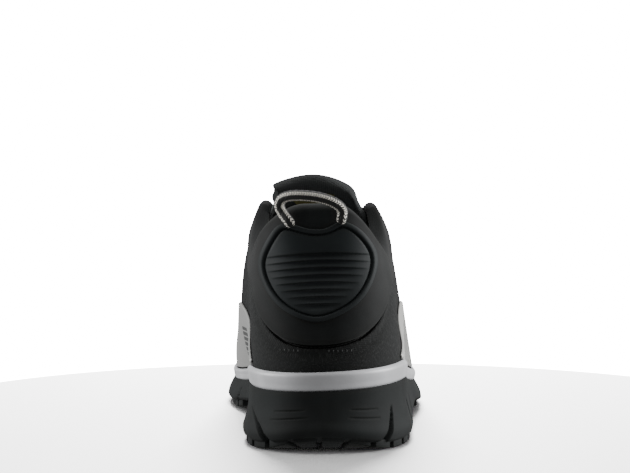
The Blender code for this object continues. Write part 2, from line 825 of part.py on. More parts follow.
def rib_depth(x, row):
    """How deep the patch's face is cut at x, and at a row counted in ribs from the middle."""
    reach = 0.86 - 0.07 * max(-row - 1.0, 0.0) - 0.06 * max(row - 1.5, 0.0)
    fade = smooth_step(0.0, 0.35, reach - abs(x))
    return PATCH_RIB_DEPTH * fade * (0.5 - 0.5 * math.cos(2.0 * math.pi * row))


def heel_slab(name, outline, low, high):
    """A plate that follows the heel between two heights over its wall, inside an outline."""
    middle = np.array([PATCH_SHIFT, PATCH_MIDDLE - 0.001])
    shares = (0.03, 0.35, 0.60, 0.82, 1.0)
    rings = [[on_heel(*(middle + share * (p - middle)), low) for p in np.array(outline)] for share in shares]
    rings += [
        [on_heel(*(middle + share * (p - middle)), high) for p in np.array(outline)] for share in shares[::-1]
    ]
    return lofted(name, rings, around=False, caps=True)


def make_heel_patch(parts, helpers, plastic):
    """The moulded patch on the heel: a plate with level ribs, in a raised rim."""
    columns = 13
    levels = [(-0.5 * PATCH_HEIGHT - PATCH_OVERRUN_LOW, None), (PATCH_LOW_ROW * PATCH_HEIGHT, None)]
    for k in range(2 * PATCH_RIBS + 1):
        row = 0.5 * (k - PATCH_RIBS)
        levels.append((row * PATCH_RIB_PITCH + PATCH_RIB_DROP, row))
    levels.append((0.5 * PATCH_HEIGHT + PATCH_OVERRUN_TOP, None))
    sections = []
    for level, row in levels:
        outer, back = [], []
        for k in range(columns):
            x = 2.0 * k / (columns - 1) - 1.0
            depth = 0.0 if row is None else rib_depth(x, row)
            spot = (PATCH_SHIFT + 0.5 * PATCH_WIDTH * x, PATCH_MIDDLE + level - rib_bow(x))
            outer.append(on_heel(*spot, PATCH_BACK + PATCH_THICKNESS - depth))
            back.append(on_heel(*spot, PATCH_BACK + 0.5 * PATCH_BASE))
        sections.append(outer + back[::-1])
    plate = add_object("heel_patch", lofted("heel_patch", sections, around=False, caps=True), plastic, parts)
    inner = patch_outline(PATCH_RIM + PATCH_GROOVE)
    trim = heel_slab("patch_trim", inner, 0.0, PATCH_BACK + PATCH_THICKNESS + 0.002)
    boolean(plate, add_cutter("patch_trim", trim, helpers), "INTERSECT")
    base = heel_slab("patch_base", patch_outline(0.0), PATCH_BACK, PATCH_BACK + PATCH_BASE)
    boolean(plate, add_cutter("patch_base", base, helpers), "UNION")
    top = PATCH_BACK + PATCH_THICKNESS + PATCH_RIM_PROUD
    rim_rows = [
        (PATCH_RIM, PATCH_BACK + 0.5 * PATCH_BASE),
        (PATCH_RIM, top - 0.0003),
        (0.7 * PATCH_RIM, top),
        (0.3 * PATCH_RIM, top),
        (0.00012, top - 0.0006),
        (0.00012, PATCH_BACK + 0.5 * PATCH_BASE),
    ]
    rings = [[on_heel(*p, proud) for p in patch_outline(inset)] for inset, proud in rim_rows]
    boolean(plate, add_cutter("patch_rim", lofted("patch_rim", rings), helpers), "UNION")
    return plate


def tongue_section(t):
    """The tongue's face under the throat's edges at t on the outer side and 22 - t on the inner,
    and the direction out of it."""
    sides = []
    for place_t in (t, STATION_COUNT - t):
        sides.append(
            [on_upper(place_t, h, -thickness_at(place_t, h) - TONGUE_GAP) for h in (0.90, 0.95, 1.0)]
        )
    outer, inner = sides
    across = outer[2] - inner[2]
    width = np.linalg.norm(across)
    upward = np.cross(across, skin(t - 0.3, 1.0) - skin(t + 0.3, 1.0))
    upward *= math.copysign(1.0, upward[2]) / np.linalg.norm(upward)
    points = list(inner)
    for share in (0.2, 0.4, 0.6, 0.8):
        bump = TONGUE_CROWN * width * math.sin(math.pi * share) ** 0.6
        points.append(inner[2] + share * across + bump * upward)
    return np.array(points + outer[::-1]), upward


def with_thickness(points, upward, thickness):
    """A closed section from a row of points, thin at its two edges."""
    last = len(points) - 1
    depths = [thickness * (0.30 + 0.70 * math.sin(math.pi * k / last) ** 0.6) for k in range(last + 1)]
    return list(points) + [p - depth * upward for p, depth in zip(points, depths)][::-1]


# Rings of the tongue's top, past the throat: how far on, its width and its crown as shares of
# those at the throat's top, and the share of its full padding
TONGUE_TOP = [
    (0.0022, 1.04, 1.10, 1.20),
    (0.0050, 1.16, 1.28, 1.35),
    (0.0085, 1.28, 1.42, 1.40),
    (0.0118, 1.29, 1.48, 1.30),
    (0.0142, 1.24, 1.44, 0.95),
    (0.0153, 1.16, 1.34, 0.40),
]


def make_tongue(parts, cloth):
    """The padded tongue, sewn in under the end of the throat and standing up past its top."""
    sections = []
    for t in (10.3, 9.6, 8.8, 8.0, 7.2, 6.5, 6.0):
        points, upward = tongue_section(t)
        padding = TONGUE_THICKNESS * (0.45 + 0.55 * smooth_step(10.3, 7.5, t))
        sections.append(with_thickness(points, upward, padding))
    points, upward = tongue_section(6.0)
    middle = 0.5 * (points[2] + points[-3])
    across = points[-3] - points[2]
    half = 0.5 * np.linalg.norm(across)
    across /= 2.0 * half
    climb = 0.5 * (skin(6.0, 1.0) + skin(16.0, 1.0)) - 0.5 * (skin(7.0, 1.0) + skin(15.0, 1.0))
    climb = climb / np.linalg.norm(climb) + TONGUE_TURN
    climb /= np.linalg.norm(climb)
    for on, width, crown, padding in TONGUE_TOP:
        ring = []
        sink = 0.5 * TONGUE_THICKNESS * max(1.3 - padding, 0.0)
        for point in points:
            x = np.dot(point - middle, across)
            y = np.dot(point - middle, upward)
            above = min(max(y / 0.003, 0.0), 1.0)
            flare = (TONGUE_FLARE[0] if x < 0 else TONGUE_FLARE[1]) * math.sqrt(on / TONGUE_TOP[-1][0])
            x *= 1.0 + (width - 1.0 + flare) * above - TONGUE_TUCK * on * (1.0 - above)
            x -= TONGUE_SKEW * max(y, 0.0) * on / TONGUE_TOP[-1][0]
            y = crown * y if y > 0 else y
            reach = on * (1.0 - 0.45 * (x / half + TONGUE_LEAN) ** 2)
            ring.append(middle + x * across + (y - sink) * upward + reach * climb)
        sections.append(with_thickness(np.array(ring), upward, TONGUE_THICKNESS * padding))
    return add_object("tongue", lofted("tongue", sections, around=False, caps=True), cloth, parts)


def eyelet_places():
    """Places t on the outer side, from the top eyelet to the last, evenly down the throat."""
    fine = np.linspace(6.55, 9.45, 59)
    line = np.array([on_upper(t, 0.93) for t in fine])
    run = np.concatenate([[0.0], np.cumsum(np.linalg.norm(np.diff(line, axis=0), axis=1))])
    return [float(np.interp(run[-1] * k / (EYELET_PAIRS - 1), run, fine)) for k in range(EYELET_PAIRS)]


EYELET_SHARE = 0.925


def make_eyelets(parts, metal):
    """Punched rings down both sides of the throat."""
    for side, name in ((0, "outer"), (1, "inner")):
        for number, t in enumerate(eyelet_places()):
            t = STATION_COUNT - t if side else t
            middle = on_upper(t, EYELET_SHARE, LAYER + EYELET_LIFT)
            normal = skin_normal(t, EYELET_SHARE)
            across = skin(t, 0.99) - skin(t, 0.86)
            across -= np.dot(across, normal) * normal
            across /= np.linalg.norm(across)
            beside = np.cross(normal, across)
            profile = [
                (EYELET_HOLE, 0.0),
                (EYELET_HOLE, 0.8 * EYELET_HEIGHT),
                (0.5 * (EYELET_HOLE + EYELET_RADIUS), EYELET_HEIGHT),
                (EYELET_RADIUS, 0.0),
            ]
            rings = []
            for k in range(10):
                a = 2.0 * math.pi * k / 10
                spoke = math.cos(a) * across + math.sin(a) * beside
                rings.append([middle + r * spoke + z * normal for r, z in profile])
            label = f"eyelet_{name}_{number + 1}"
            add_object(label, lofted(label, rings, around=True), metal, parts)


def rounded(points, per_span):
    """Points on a smooth curve through a few."""
    points = [np.array(p, float) for p in points]
    padded = [2 * points[0] - points[1], *points, 2 * points[-1] - points[-2]]
    line = []
    for a, b, c, d in zip(padded, padded[1:], padded[2:], padded[3:]):
        for k in range(per_span):
            s = k / per_span
            bend, twist = 2 * a - 5 * b + 4 * c - d, 3 * b - a - 3 * c + d
            line.append(0.5 * (2 * b + (c - a) * s + bend * s**2 + twist * s**3))
    line.append(points[-1])
    return line


def tube(name, points, radius, sides, finish, collection):
    """A round tube along points, as a mesh."""
    curve = bpy.data.curves.new(name, "CURVE")
    curve.dimensions = "3D"
    curve.bevel_depth = radius
    curve.bevel_resolution = sides
    curve.use_fill_caps = True
    spline = curve.splines.new("POLY")
    spline.points.add(len(points) - 1)
    for target, point in zip(spline.points, points):
        target.co = (*point, 1.0)
    guide = bpy.data.objects.new(name + "_guide", curve)
    collection.objects.link(guide)
    graph = bpy.context.evaluated_depsgraph_get()
    mesh = bpy.data.meshes.new_from_object(guide.evaluated_get(graph))
    bpy.data.objects.remove(guide)
    bm = bmesh.new()
    bm.from_mesh(mesh)
    bmesh.ops.remove_doubles(bm, verts=bm.verts, dist=0.00001)
    bmesh.ops.recalc_face_normals(bm, faces=bm.faces)
    bm.to_mesh(mesh)
    bm.free()
    mesh.name = name
    mesh.materials.clear()
    return add_object(name, mesh, finish, collection)


def lace_stop(t, share, rise):
    """A point over the eyestay at t."""
    return on_upper(t, share, LAYER + rise)


def on_side(t, inner):
    """The place of t on the outer side, or the one across from it on the inner side."""
    return STATION_COUNT - t if inner else t


def tongue_crown(t, rise):
    """A point over the middle of the tongue at the height of the throat's place t."""
    points, upward = tongue_section(t)
    return 0.5 * (points[4] + points[5]) + rise * upward


def make_laces(parts, helpers, cord):
    """Two laces that cross between the rows of eyelets, joined where they cross."""
    over_edge = over_tongue = LACE_RADIUS + LACE_CLEARANCE
    over_eyelet = EYELET_LIFT + EYELET_HEIGHT + LACE_RADIUS + LACE_CLEARANCE
    places = eyelet_places()
    laces = []
    for start in (0, 1):
        stops = []
        for k in range(EYELET_PAIRS - 1):
            near, far = places[k], places[k + 1]
            inner = (k + start) % 2 == 1
            leave = near + LACE_SLANT * (far - near)
            arrive = far - LACE_SLANT * (far - near)
            stops += [
                lace_stop(on_side(near, inner), EYELET_SHARE, over_eyelet),
                lace_stop(on_side(leave, inner), 1.0, over_edge),
                tongue_crown(0.5 * (near + far), over_tongue),
                lace_stop(on_side(arrive, not inner), 1.0, over_edge),
            ]
        inner = (EYELET_PAIRS - 1 + start) % 2 == 1
        stops.append(lace_stop(on_side(places[-1], inner), EYELET_SHARE, over_eyelet))
        name = "laces" if start == 0 else "lace_other"
        laces.append(tube(name, rounded(stops, 2), LACE_RADIUS, 1, cord, parts))
    bar_stops = [
        lace_stop(places[-1], EYELET_SHARE, over_eyelet),
        lace_stop(places[-1], 1.0, over_edge),
        tongue_crown(places[-1], over_tongue),
        lace_stop(STATION_COUNT - places[-1], 1.0, over_edge),
        lace_stop(STATION_COUNT - places[-1], EYELET_SHARE, over_eyelet),
    ]
    bar = tube("lace_bar", rounded(bar_stops, 2), LACE_RADIUS, 1, cord, parts)
    for extra in (laces[1], bar):
        parts.objects.unlink(extra)
        helpers.objects.link(extra)
        extra.hide_render = True
        extra.display_type = "WIRE"
        boolean(laces[0], extra, "UNION")


# The pull loop's line, seen from behind: x, height above the heel's collar, and how far its
# middle stands off the heel's skin. Above LOOP_SEAT under the collar's height it rises upright.
LOOP_SEAT = 0.0040
LOOP_LINE = [
    (-0.0184, -0.0084, 0.0042),
    (-0.0210, -0.0048, 0.0042),
    (-0.0226, -0.0010, 0.0046),
    (-0.0214, 0.0029, 0.0052),
    (-0.0172, 0.0047, 0.0056),
    (-0.0116, 0.0048, 0.0058),
    (-0.0050, 0.0041, 0.0058),
    (0.0010, 0.0022, 0.0056),
    (0.0052, -0.0006, 0.0050),
    (0.0068, -0.0040, 0.0042),
    (0.0066, -0.0068, 0.0042),
]


def make_pull_loop(parts, cord):
    """The cord loop to pull the shoe on by, which comes up from under the heel patch."""
    top = HEEL_HEIGHT - LOOP_SEAT
    points = []
    for x, rise, off in LOOP_LINE:
        z = HEEL_HEIGHT + rise
        base = seen_over_heel(x, min(z, top), off)
        points.append((base[0], base[1], base[2] + max(z - top, 0.0)))
    tube("pull_loop", rounded(points, 2), CORD_RADIUS, 2, cord, parts)


def build():
    for item in list(bpy.data.objects):
        bpy.data.objects.remove(item)
    parts = bpy.data.collections.new("safety_sneaker")
    helpers = bpy.data.collections.new("cutters")
    for collection in (parts, helpers):
        bpy.context.scene.collection.children.link(collection)
    rubber = material("outsole_rubber", (46, 48, 48), 0.45)
    foam = material("grey_midsole", (150, 152, 154), 0.55)
    cloth = material("black_upper_cloth", (26, 27, 27), 0.85)
    padding = material("tongue_cloth", (22, 22, 22), 0.85)
    film = material("side_panel_film", (150, 150, 148), 0.40, 0.35)
    cap = material("toe_cap_film", (34, 35, 35), 0.50)
    plastic = material("heel_patch_plastic", (38, 40, 40), 0.50)
    footbed = material("insole_cloth", (60, 60, 58), 0.90)
    cord = material("cord", (30, 30, 30), 0.80)
    ring = material("eyelet_plastic", (28, 28, 28), 0.45)
    make_outsole(parts, helpers, rubber)
    make_midsole(parts, foam)
    make_insole(parts, footbed)
    make_upper(parts, cloth)
    make_side_panels(parts, film)
    make_toe_cap(parts, cap)
    make_heel_patch(parts, helpers, plastic)
    make_tongue(parts, padding)
    make_eyelets(parts, ring)
    make_laces(parts, helpers, cord)
    make_pull_loop(parts, cord)


build()
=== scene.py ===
"""The looks of a low safety sneaker for the right foot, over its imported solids.

Metres, +Z up, +Y to the toe and +X to the outer (little toe) side, with the origin on the floor
under the heel. The camera stands behind the heel.
"""

import math

import bmesh
import bpy
import numpy as np
from mathutils import Matrix, Vector


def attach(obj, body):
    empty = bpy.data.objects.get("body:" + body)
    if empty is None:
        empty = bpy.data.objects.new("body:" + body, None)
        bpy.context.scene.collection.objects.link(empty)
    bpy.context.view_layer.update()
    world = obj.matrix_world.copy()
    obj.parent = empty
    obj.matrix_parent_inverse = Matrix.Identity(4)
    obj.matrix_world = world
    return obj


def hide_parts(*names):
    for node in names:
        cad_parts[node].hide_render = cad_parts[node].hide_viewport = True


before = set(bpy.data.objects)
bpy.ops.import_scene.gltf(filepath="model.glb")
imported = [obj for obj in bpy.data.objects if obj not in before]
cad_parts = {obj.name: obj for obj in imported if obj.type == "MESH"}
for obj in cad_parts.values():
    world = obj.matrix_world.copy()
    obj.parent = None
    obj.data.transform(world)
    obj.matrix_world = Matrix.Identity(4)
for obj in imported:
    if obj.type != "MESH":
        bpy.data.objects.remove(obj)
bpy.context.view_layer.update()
MM = 0.001

# Outsole: one moulded black rubber unit, cupped up round the foot and flared at the heel, with
# tapered grooves up its wall and rows of lugs under it. Places along the shoe are shares of
# LENGTH from the back of the sole, and places across are shares of half its width there. t goes
# once round the shoe in 22 steps, from the back of the heel along the outer side.

LENGTH = 0.300
BALL_WIDTH = 0.100
HEEL_WIDTH = 0.074
HEEL_REST = 0.045
COLLAR_HEIGHT = 0.117
GAP = 0.0003
HEEL_STACK = 0.0380
BALL_STACK = 0.0200
HEEL_BAND = 0.0090
BALL_BAND = 0.0060
HEEL_BEVEL = 0.0060
ARCH_LIFT = 0.0050
TOE_SPRING = 0.0150
HEEL_CANT = 0.035
LUG_DEPTH = 0.0030
MIDSOLE_FLOOR = 0.0025
ROUND = 22

# Ribs round the upper: share of the length and side where each meets the sole, then those where
# it ends, its height there, its lean and pull at the foot, its drop and pull at the top, and the
# shares of its length under the collar panel, and of the collar's padding
RIBS = np.array([
    (0.012, -0.11, 0.032, -0.13, 1.000, 9, 0.36, 86, 0.30, 0.205, 1.00),
    (0.027, 0.41, 0.038, 0.26, 0.990, 8, 0.36, 86, 0.30, 0.245, 1.00),
    (0.080, 0.81, 0.077, 0.57, 0.890, 4, 0.36, 86, 0.30, 0.45, 0.95),
    (0.167, 1.00, 0.150, 0.77, 0.790, -1, 0.36, 80, 0.30, 0.74, 0.90),
    (0.283, 1.00, 0.240, 0.80, 0.765, -7, 0.36, 72, 0.30, 0.80, 0.90),
    (0.400, 0.925, 0.333, 0.70, 0.860, -11, 0.34, 66, 0.28, 0.80, 0.80),
    (0.517, 0.925, 0.397, 0.515, 0.990, -13, 0.30, 52, 0.28, 0.81, 0.46),
    (0.633, 0.965, 0.487, 0.33, 0.845, -9, 0.25, 44, 0.34, 0.80, 0.36),
    (0.750, 0.925, 0.573, 0.23, 0.715, -5, 0.27, 38, 0.36, 0.79, 0.34),
    (0.867, 0.72, 0.633, 0.15, 0.640, 0, 0.30, 30, 0.38, 0.79, 0.32),
    (0.945, 0.32, 0.655, 0.04, 0.615, 3, 0.34, 22, 0.40, 0.80, 0.32),
    (0.968, -0.16, 0.663, -0.08, 0.610, 4, 0.35, 18, 0.40, 0.82, 0.32),
    (0.932, -0.62, 0.655, -0.20, 0.620, 4, 0.34, 22, 0.40, 0.80, 0.32),
    (0.835, -0.90, 0.630, -0.31, 0.650, 3, 0.30, 32, 0.36, 0.79, 0.32),
    (0.707, -1.00, 0.573, -0.40, 0.730, 5, 0.28, 44, 0.34, 0.79, 0.34),
    (0.593, -0.93, 0.487, -0.525, 0.865, 12, 0.29, 55, 0.34, 0.80, 0.36),
    (0.483, -0.79, 0.397, -0.725, 1.000, 20, 0.33, 62, 0.35, 0.81, 0.46),
    (0.373, -0.77, 0.330, -0.91, 0.880, 20, 0.34, 76, 0.30, 0.80, 0.80),
    (0.267, -0.905, 0.240, -1.00, 0.785, 14, 0.36, 82, 0.30, 0.80, 0.90),
    (0.167, -0.98, 0.150, -0.96, 0.820, 6, 0.36, 84, 0.30, 0.72, 0.90),
    (0.080, -0.87, 0.077, -0.80, 0.920, 4, 0.36, 86, 0.30, 0.42, 0.95),
    (0.028, -0.54, 0.038, -0.48, 0.990, 8, 0.36, 86, 0.30, 0.24, 1.00),
])
COLUMN = {
    "foot_along": 0, "foot_side": 1, "top_along": 2, "top_side": 3, "rise": 4, "lean": 5,
    "foot_pull": 6, "drop": 7, "top_pull": 8, "seam": 9, "pad": 10,
}
# Lines along the sole: share of the length, then the height
TREAD = [
    (0.00, HEEL_BEVEL), (0.035, 0.20 * HEEL_BEVEL), (0.070, 0.0), (0.27, 0.0),
    (0.36, 0.45 * ARCH_LIFT), (0.45, ARCH_LIFT), (0.54, 0.45 * ARCH_LIFT), (0.615, 0.0),
    (0.730, 0.0), (0.82, 0.14 * TOE_SPRING), (0.90, 0.50 * TOE_SPRING), (1.00, TOE_SPRING),
]
BAND_TOP = [
    (0.00, HEEL_STACK), (0.12, 1.015 * HEEL_STACK), (0.22, 0.96 * HEEL_STACK),
    (0.34, 0.84 * HEEL_STACK), (0.47, 0.68 * HEEL_STACK), (0.58, 1.08 * BALL_STACK),
    (0.67, BALL_STACK), (0.80, 1.10 * BALL_STACK), (0.91, 1.45 * BALL_STACK),
    (1.00, 1.95 * BALL_STACK),
]
# Rings of the wall: share of its height, how far it stands out at the heel, and at the ball
OUTSOLE_WALL = np.array([
    (0.00, 0.0032, 0.0016), (0.05, 0.0048, 0.0044), (0.16, 0.0053, 0.0058),
    (0.38, 0.0038, 0.0054), (0.70, 0.0024, 0.0038), (1.00, 0.0020, 0.0020),
])
# Grooves up the wall: t at the bottom and at the top, the widths there, how deep, and the shares
# of the wall's height where each starts and ends
GROOVES = [
    (1.38, 1.85, 0.0058, 0.0012, 0.0034, -0.1, 0.64), (20.72, 19.76, 0.0058, 0.0012, 0.0034, -0.1, 0.64),
    (3.05, 2.75, 0.0056, 0.0012, 0.0034, -0.1, 0.66), (18.95, 19.25, 0.0056, 0.0012, 0.0034, -0.1, 0.66),
    (3.95, 4.20, 0.0044, 0.0010, 0.0020, -0.1, 0.70), (18.05, 17.80, 0.0044, 0.0010, 0.0020, -0.1, 0.70),
    (6.70, 6.50, 0.0044, 0.0010, 0.0018, -0.1, 0.70), (15.30, 15.50, 0.0044, 0.0010, 0.0018, -0.1, 0.70),
    (7.75, 7.55, 0.0044, 0.0010, 0.0018, -0.1, 0.70), (14.25, 14.45, 0.0044, 0.0010, 0.0018, -0.1, 0.70),
]
# Short level rib lines in the heel's wall: t of the middle, half the spread, share of the height
RIB_LINES = [(1.05, 0.35, 0.60), (1.05, 0.40, 0.44), (21.20, 0.45, 0.60), (21.20, 0.55, 0.44)]
RIB_LINE_WIDTH = 0.0011
RIB_LINE_DEPTH = 0.0007
HEEL_WALL = 0.026
GROOVE_BOW = 0.10


def smooth_step(low, high, value):
    """0 below low, 1 above high, and a smooth rise between them."""
    share = np.clip((value - low) / (high - low), 0.0, 1.0)
    return share * share * (3.0 - 2.0 * share)


def line_through(rows, x):
    """A smooth line through rows of (place, value) that never swings past them."""
    places, values = np.array(rows, float).T
    slopes = np.diff(values) / np.diff(places)
    tangents = np.zeros(len(places))
    same = slopes[:-1] * slopes[1:] > 0
    first, second = slopes[:-1][same], slopes[1:][same]
    tangents[1:-1][same] = 2.0 * first * second / (first + second)
    tangents[0], tangents[-1] = slopes[0], slopes[-1]
    i = np.clip(np.searchsorted(places, x) - 1, 0, len(slopes) - 1)
    width = places[i + 1] - places[i]
    s = np.clip((x - places[i]) / width, 0.0, 1.0)
    rise = (3.0 - 2.0 * s) * s * s * (values[i + 1] - values[i])
    return values[i] + rise + width * s * (1.0 - s) * ((1.0 - s) * tangents[i] - s * tangents[i + 1])


def loop_bends(values):
    """Second derivatives of the closed cubic spline through values at even steps."""
    one = np.eye(len(values))
    matrix = 4.0 * one + np.roll(one, 1, axis=1) + np.roll(one, -1, axis=1)
    return np.linalg.solve(matrix, 6.0 * (np.roll(values, -1) - 2.0 * values + np.roll(values, 1)))


def round_loop(values, t):
    """The closed spline through values, at places t."""
    bends, i = loop_bends(values), np.floor(t).astype(int) % len(values)
    j, f = (i + 1) % len(values), t - np.floor(t)
    bend = ((1 - f) ** 3 - (1 - f)) * bends[i] + (f**3 - f) * bends[j]
    return (1 - f) * values[i] + f * values[j] + bend / 6.0


def rib_value(name, t):
    return round_loop(RIBS[:, COLUMN[name]], np.asarray(t, float))


def plan_place(along, side):
    half = 0.5 * (HEEL_WIDTH + (BALL_WIDTH - HEEL_WIDTH) * smooth_step(0.20, 0.57, along))
    return np.stack([side * half, along * LENGTH - HEEL_REST], axis=-1)


def share_along(y):
    return (y + HEEL_REST) / LENGTH


def run_along(line):
    """How far along a line of points each of them lies."""
    return np.concatenate([[0.0], np.cumsum(np.linalg.norm(np.diff(line, axis=0), axis=1))])


def foot_plan(t):
    """Where the rib at t meets the sole, seen from above."""
    return plan_place(rib_value("foot_along", t), rib_value("foot_side", t))


def outward(t):
    """The level direction out of the shoe at t."""
    ahead = foot_plan(np.asarray(t) + 0.05) - foot_plan(np.asarray(t) - 0.05)
    out = np.stack([ahead[..., 1], -ahead[..., 0]], axis=-1)
    return out / np.linalg.norm(out, axis=-1, keepdims=True)


def heel_to_ball(along, heel, ball, start=0.2, end=0.55):
    return heel + (ball - heel) * smooth_step(start, end, along)


def tread_height(along):
    return line_through(TREAD, along)


def band_top(x, along):
    return line_through(BAND_TOP, along) + HEEL_CANT * x * (1.0 - smooth_step(0.2, 0.5, along))


def band_bottom(x, along):
    return band_top(x, along) - heel_to_ball(along, HEEL_BAND, BALL_BAND, 0.2, 0.6)


def laid_grid(name, points, join=(False, False), finish_of=None):
    """A sheet of quads through a grid of points, with a UV map in metres along its two ways. join
    says which of its two ways runs round and meets itself, and finish_of gives each quad's
    material by its place in the grid."""
    points = np.asarray(points, float)
    for axis in (0, 1):
        if join[axis]:
            points = np.concatenate([points, np.take(points, [0], axis=axis)], axis=axis)
    n, m = points.shape[:2]
    bm = bmesh.new()
    bmesh.ops.create_grid(bm, x_segments=n - 1, y_segments=m - 1, size=1.0)
    bm.loops.layers.uv.new("metres")
    mesh = bpy.data.meshes.new(name)
    bm.to_mesh(mesh)
    bm.free()
    corners = np.empty(n * m * 3, np.float32)
    mesh.vertices.foreach_get("co", corners)
    corners = corners.reshape(-1, 3)
    i = np.rint((corners[:, 0] + 1.0) / 2.0 * (n - 1)).astype(int)
    j = np.rint((corners[:, 1] + 1.0) / 2.0 * (m - 1)).astype(int)
    if finish_of is not None:
        centres = np.empty(len(mesh.polygons) * 3, np.float32)
        mesh.polygons.foreach_get("center", centres)
        centres = (centres.reshape(-1, 3)[:, :2] + 1.0) / 2.0 * (n - 1, m - 1)
        chosen = finish_of[tuple(np.floor(centres).astype(int).T)]
        mesh.polygons.foreach_set("material_index", chosen.astype(np.int32))
    mesh.vertices.foreach_set("co", points[i, j].astype(np.float32).ravel())
    across = np.linalg.norm(np.diff(points, axis=0), axis=2).mean(axis=1)
    up = np.linalg.norm(np.diff(points, axis=1), axis=2).mean(axis=0)
    lengths = [np.concatenate([[0.0], np.cumsum(steps)]) for steps in (across, up)]
    corner = np.empty(len(mesh.loops), np.int32)
    mesh.loops.foreach_get("vertex_index", corner)
    uv = np.stack([lengths[0][i[corner]], lengths[1][j[corner]]], axis=1)
    mesh.uv_layers[0].uv.foreach_set("vector", uv.astype(np.float32).ravel())
    bm = bmesh.new()
    bm.from_mesh(mesh)
    bmesh.ops.remove_doubles(bm, verts=bm.verts, dist=0.000002)
    bmesh.ops.recalc_face_normals(bm, faces=bm.faces)
    bm.to_mesh(mesh)
    bm.free()
    return mesh


def piece(name, mesh, finishes, slot, *nodes):
    """A shown piece on the shoe's one body, in place of the named nodes."""
    shown = bpy.data.objects.new(name, mesh)
    bpy.context.scene.collection.objects.link(shown)
    for finish in finishes:
        mesh.materials.append(finish)
    mesh.shade_smooth()
    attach(shown, "root")
    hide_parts(*nodes)
    return shown


def linear(code):
    """A Blender colour from an sRGB hex code."""
    parts = [int(code[k : k + 2], 16) / 255 for k in (0, 2, 4)]
    return (*[((c + 0.055) / 1.055) ** 2.4 if c > 0.04 else c / 12.92 for c in parts], 1.0)


def add_node(tree, kind, links=None, **settings):
    """A shader node with its settings, its socket values and the sockets that feed it."""
    made = tree.nodes.new(f"ShaderNode{kind}")
    for key, value in settings.items():
        setattr(made, key, value)
    for socket, value in (links or {}).items():
        if isinstance(value, bpy.types.NodeSocket):
            tree.links.new(value, made.inputs[socket])
        else:
            made.inputs[socket].default_value = value
    return made


def finish_named(name, values):
    """A material, its node tree and its Principled shader, with the shader's plain values set."""
    made = bpy.data.materials.new(name)
    made.use_nodes = True
    shader = made.node_tree.nodes["Principled BSDF"]
    for socket, value in values.items():
        shader.inputs[socket].default_value = value
    return made, made.node_tree, shader


def tint(tree, shader, factor, dark, light, low=0.0, high=1.0):
    """Colours a surface between two hex tones, by a factor that runs from low to high."""
    ramp = add_node(tree, "ValToRGB", {"Fac": factor})
    for element, place, code in zip(ramp.color_ramp.elements, (low, high), (dark, light)):
        element.position = place
        element.color = linear(code)
    tree.links.new(ramp.outputs["Color"], shader.inputs["Base Color"])


def emboss(tree, shader, height, depth, strength):
    """Gives a surface fine relief, from a height of 0 to 1 and a depth in metres."""
    made = add_node(tree, "Bump", {"Height": height, "Distance": depth, "Strength": strength})
    tree.links.new(made.outputs["Normal"], shader.inputs["Normal"])


def dull_in_patches(tree, shader, blotch, least, most):
    """Makes a surface rougher in patches, between two roughness values."""
    made = add_node(tree, "MapRange", {"Value": blotch, "To Min": least, "To Max": most})
    tree.links.new(made.outputs["Result"], shader.inputs["Roughness"])


# Moulded rubber: a fine matt spark-eroded grain of about 0.5 mm, a little dusty and uneven
rubber, tree, shader = finish_named("moulded_black_rubber", {"Specular IOR Level": 0.06})
where = add_node(tree, "TexCoord").outputs["Object"]
blotch = add_node(tree, "TexNoise", {"Vector": where, "Scale": 45.0, "Detail": 5.0}).outputs["Fac"]
grain = add_node(tree, "TexNoise", {"Vector": where, "Scale": 1900.0, "Detail": 2.0}).outputs["Fac"]
tint(tree, shader, blotch, "1c1d1d", "272929", 0.3, 0.75)
dull_in_patches(tree, shader, blotch, 0.66, 0.80)
emboss(tree, shader, grain, 0.00012, 0.5)

# Columns round the wall: closer together round the heel, up to HEEL_PART on both sides
HEEL_PART = 4.6
HEEL_STEP = 0.022
FRONT_STEP = 0.06
sole_t = np.concatenate([
    np.arange(-HEEL_PART, HEEL_PART, HEEL_STEP), np.arange(HEEL_PART, ROUND - HEEL_PART, FRONT_STEP),
])
# Places from the heel to the toe along the outer side, each of which has its like at ROUND - t
to_toe = np.linspace(0.0, 0.5 * ROUND, 111)
sole_foot, sole_out = foot_plan(sole_t), outward(sole_t)
sole_along = share_along(sole_foot[:, 1])
pace = np.linalg.norm(foot_plan(sole_t + 0.05) - foot_plan(sole_t - 0.05), axis=1) / 0.1


def plate_height(along):
    """The outsole's underside between its lugs."""
    return tread_height(along) + LUG_DEPTH


def near(t, middle):
    """How far t is from a place, the short way round."""
    return (t - middle + 0.5 * ROUND) % ROUND - 0.5 * ROUND


def wall_cut(share):
    """How deep the outsole's wall is cut at a share of its height, for each column."""
    cut = np.zeros(len(sole_t))
    for low_t, high_t, wide_low, wide_high, depth, low, high in GROOVES:
        part = (share - low) / (high - low)
        if part < 1.0:
            middle = low_t + (high_t - low_t) * part + GROOVE_BOW * math.sin(math.pi * part)
            half = 0.5 * (wide_low + (wide_high - wide_low) * part)
            away = near(sole_t, middle) * pace / half
            wall = np.clip(3.0 * (1.0 - np.abs(away)), 0.0, 1.0)
            cut = np.maximum(cut, depth * (1.0 - 0.4 * part) * wall * min(1.0, 6 * (1 - part)))
    for middle, spread, level in RIB_LINES:
        reach = np.clip(1.0 - (near(sole_t, middle) / spread) ** 2, 0.0, 1.0)
        rise = abs(share - level) * HEEL_WALL / (0.5 * RIB_LINE_WIDTH)
        cut = np.maximum(cut, RIB_LINE_DEPTH * np.sqrt(reach) * max(1.0 - rise, 0.0))
    return cut


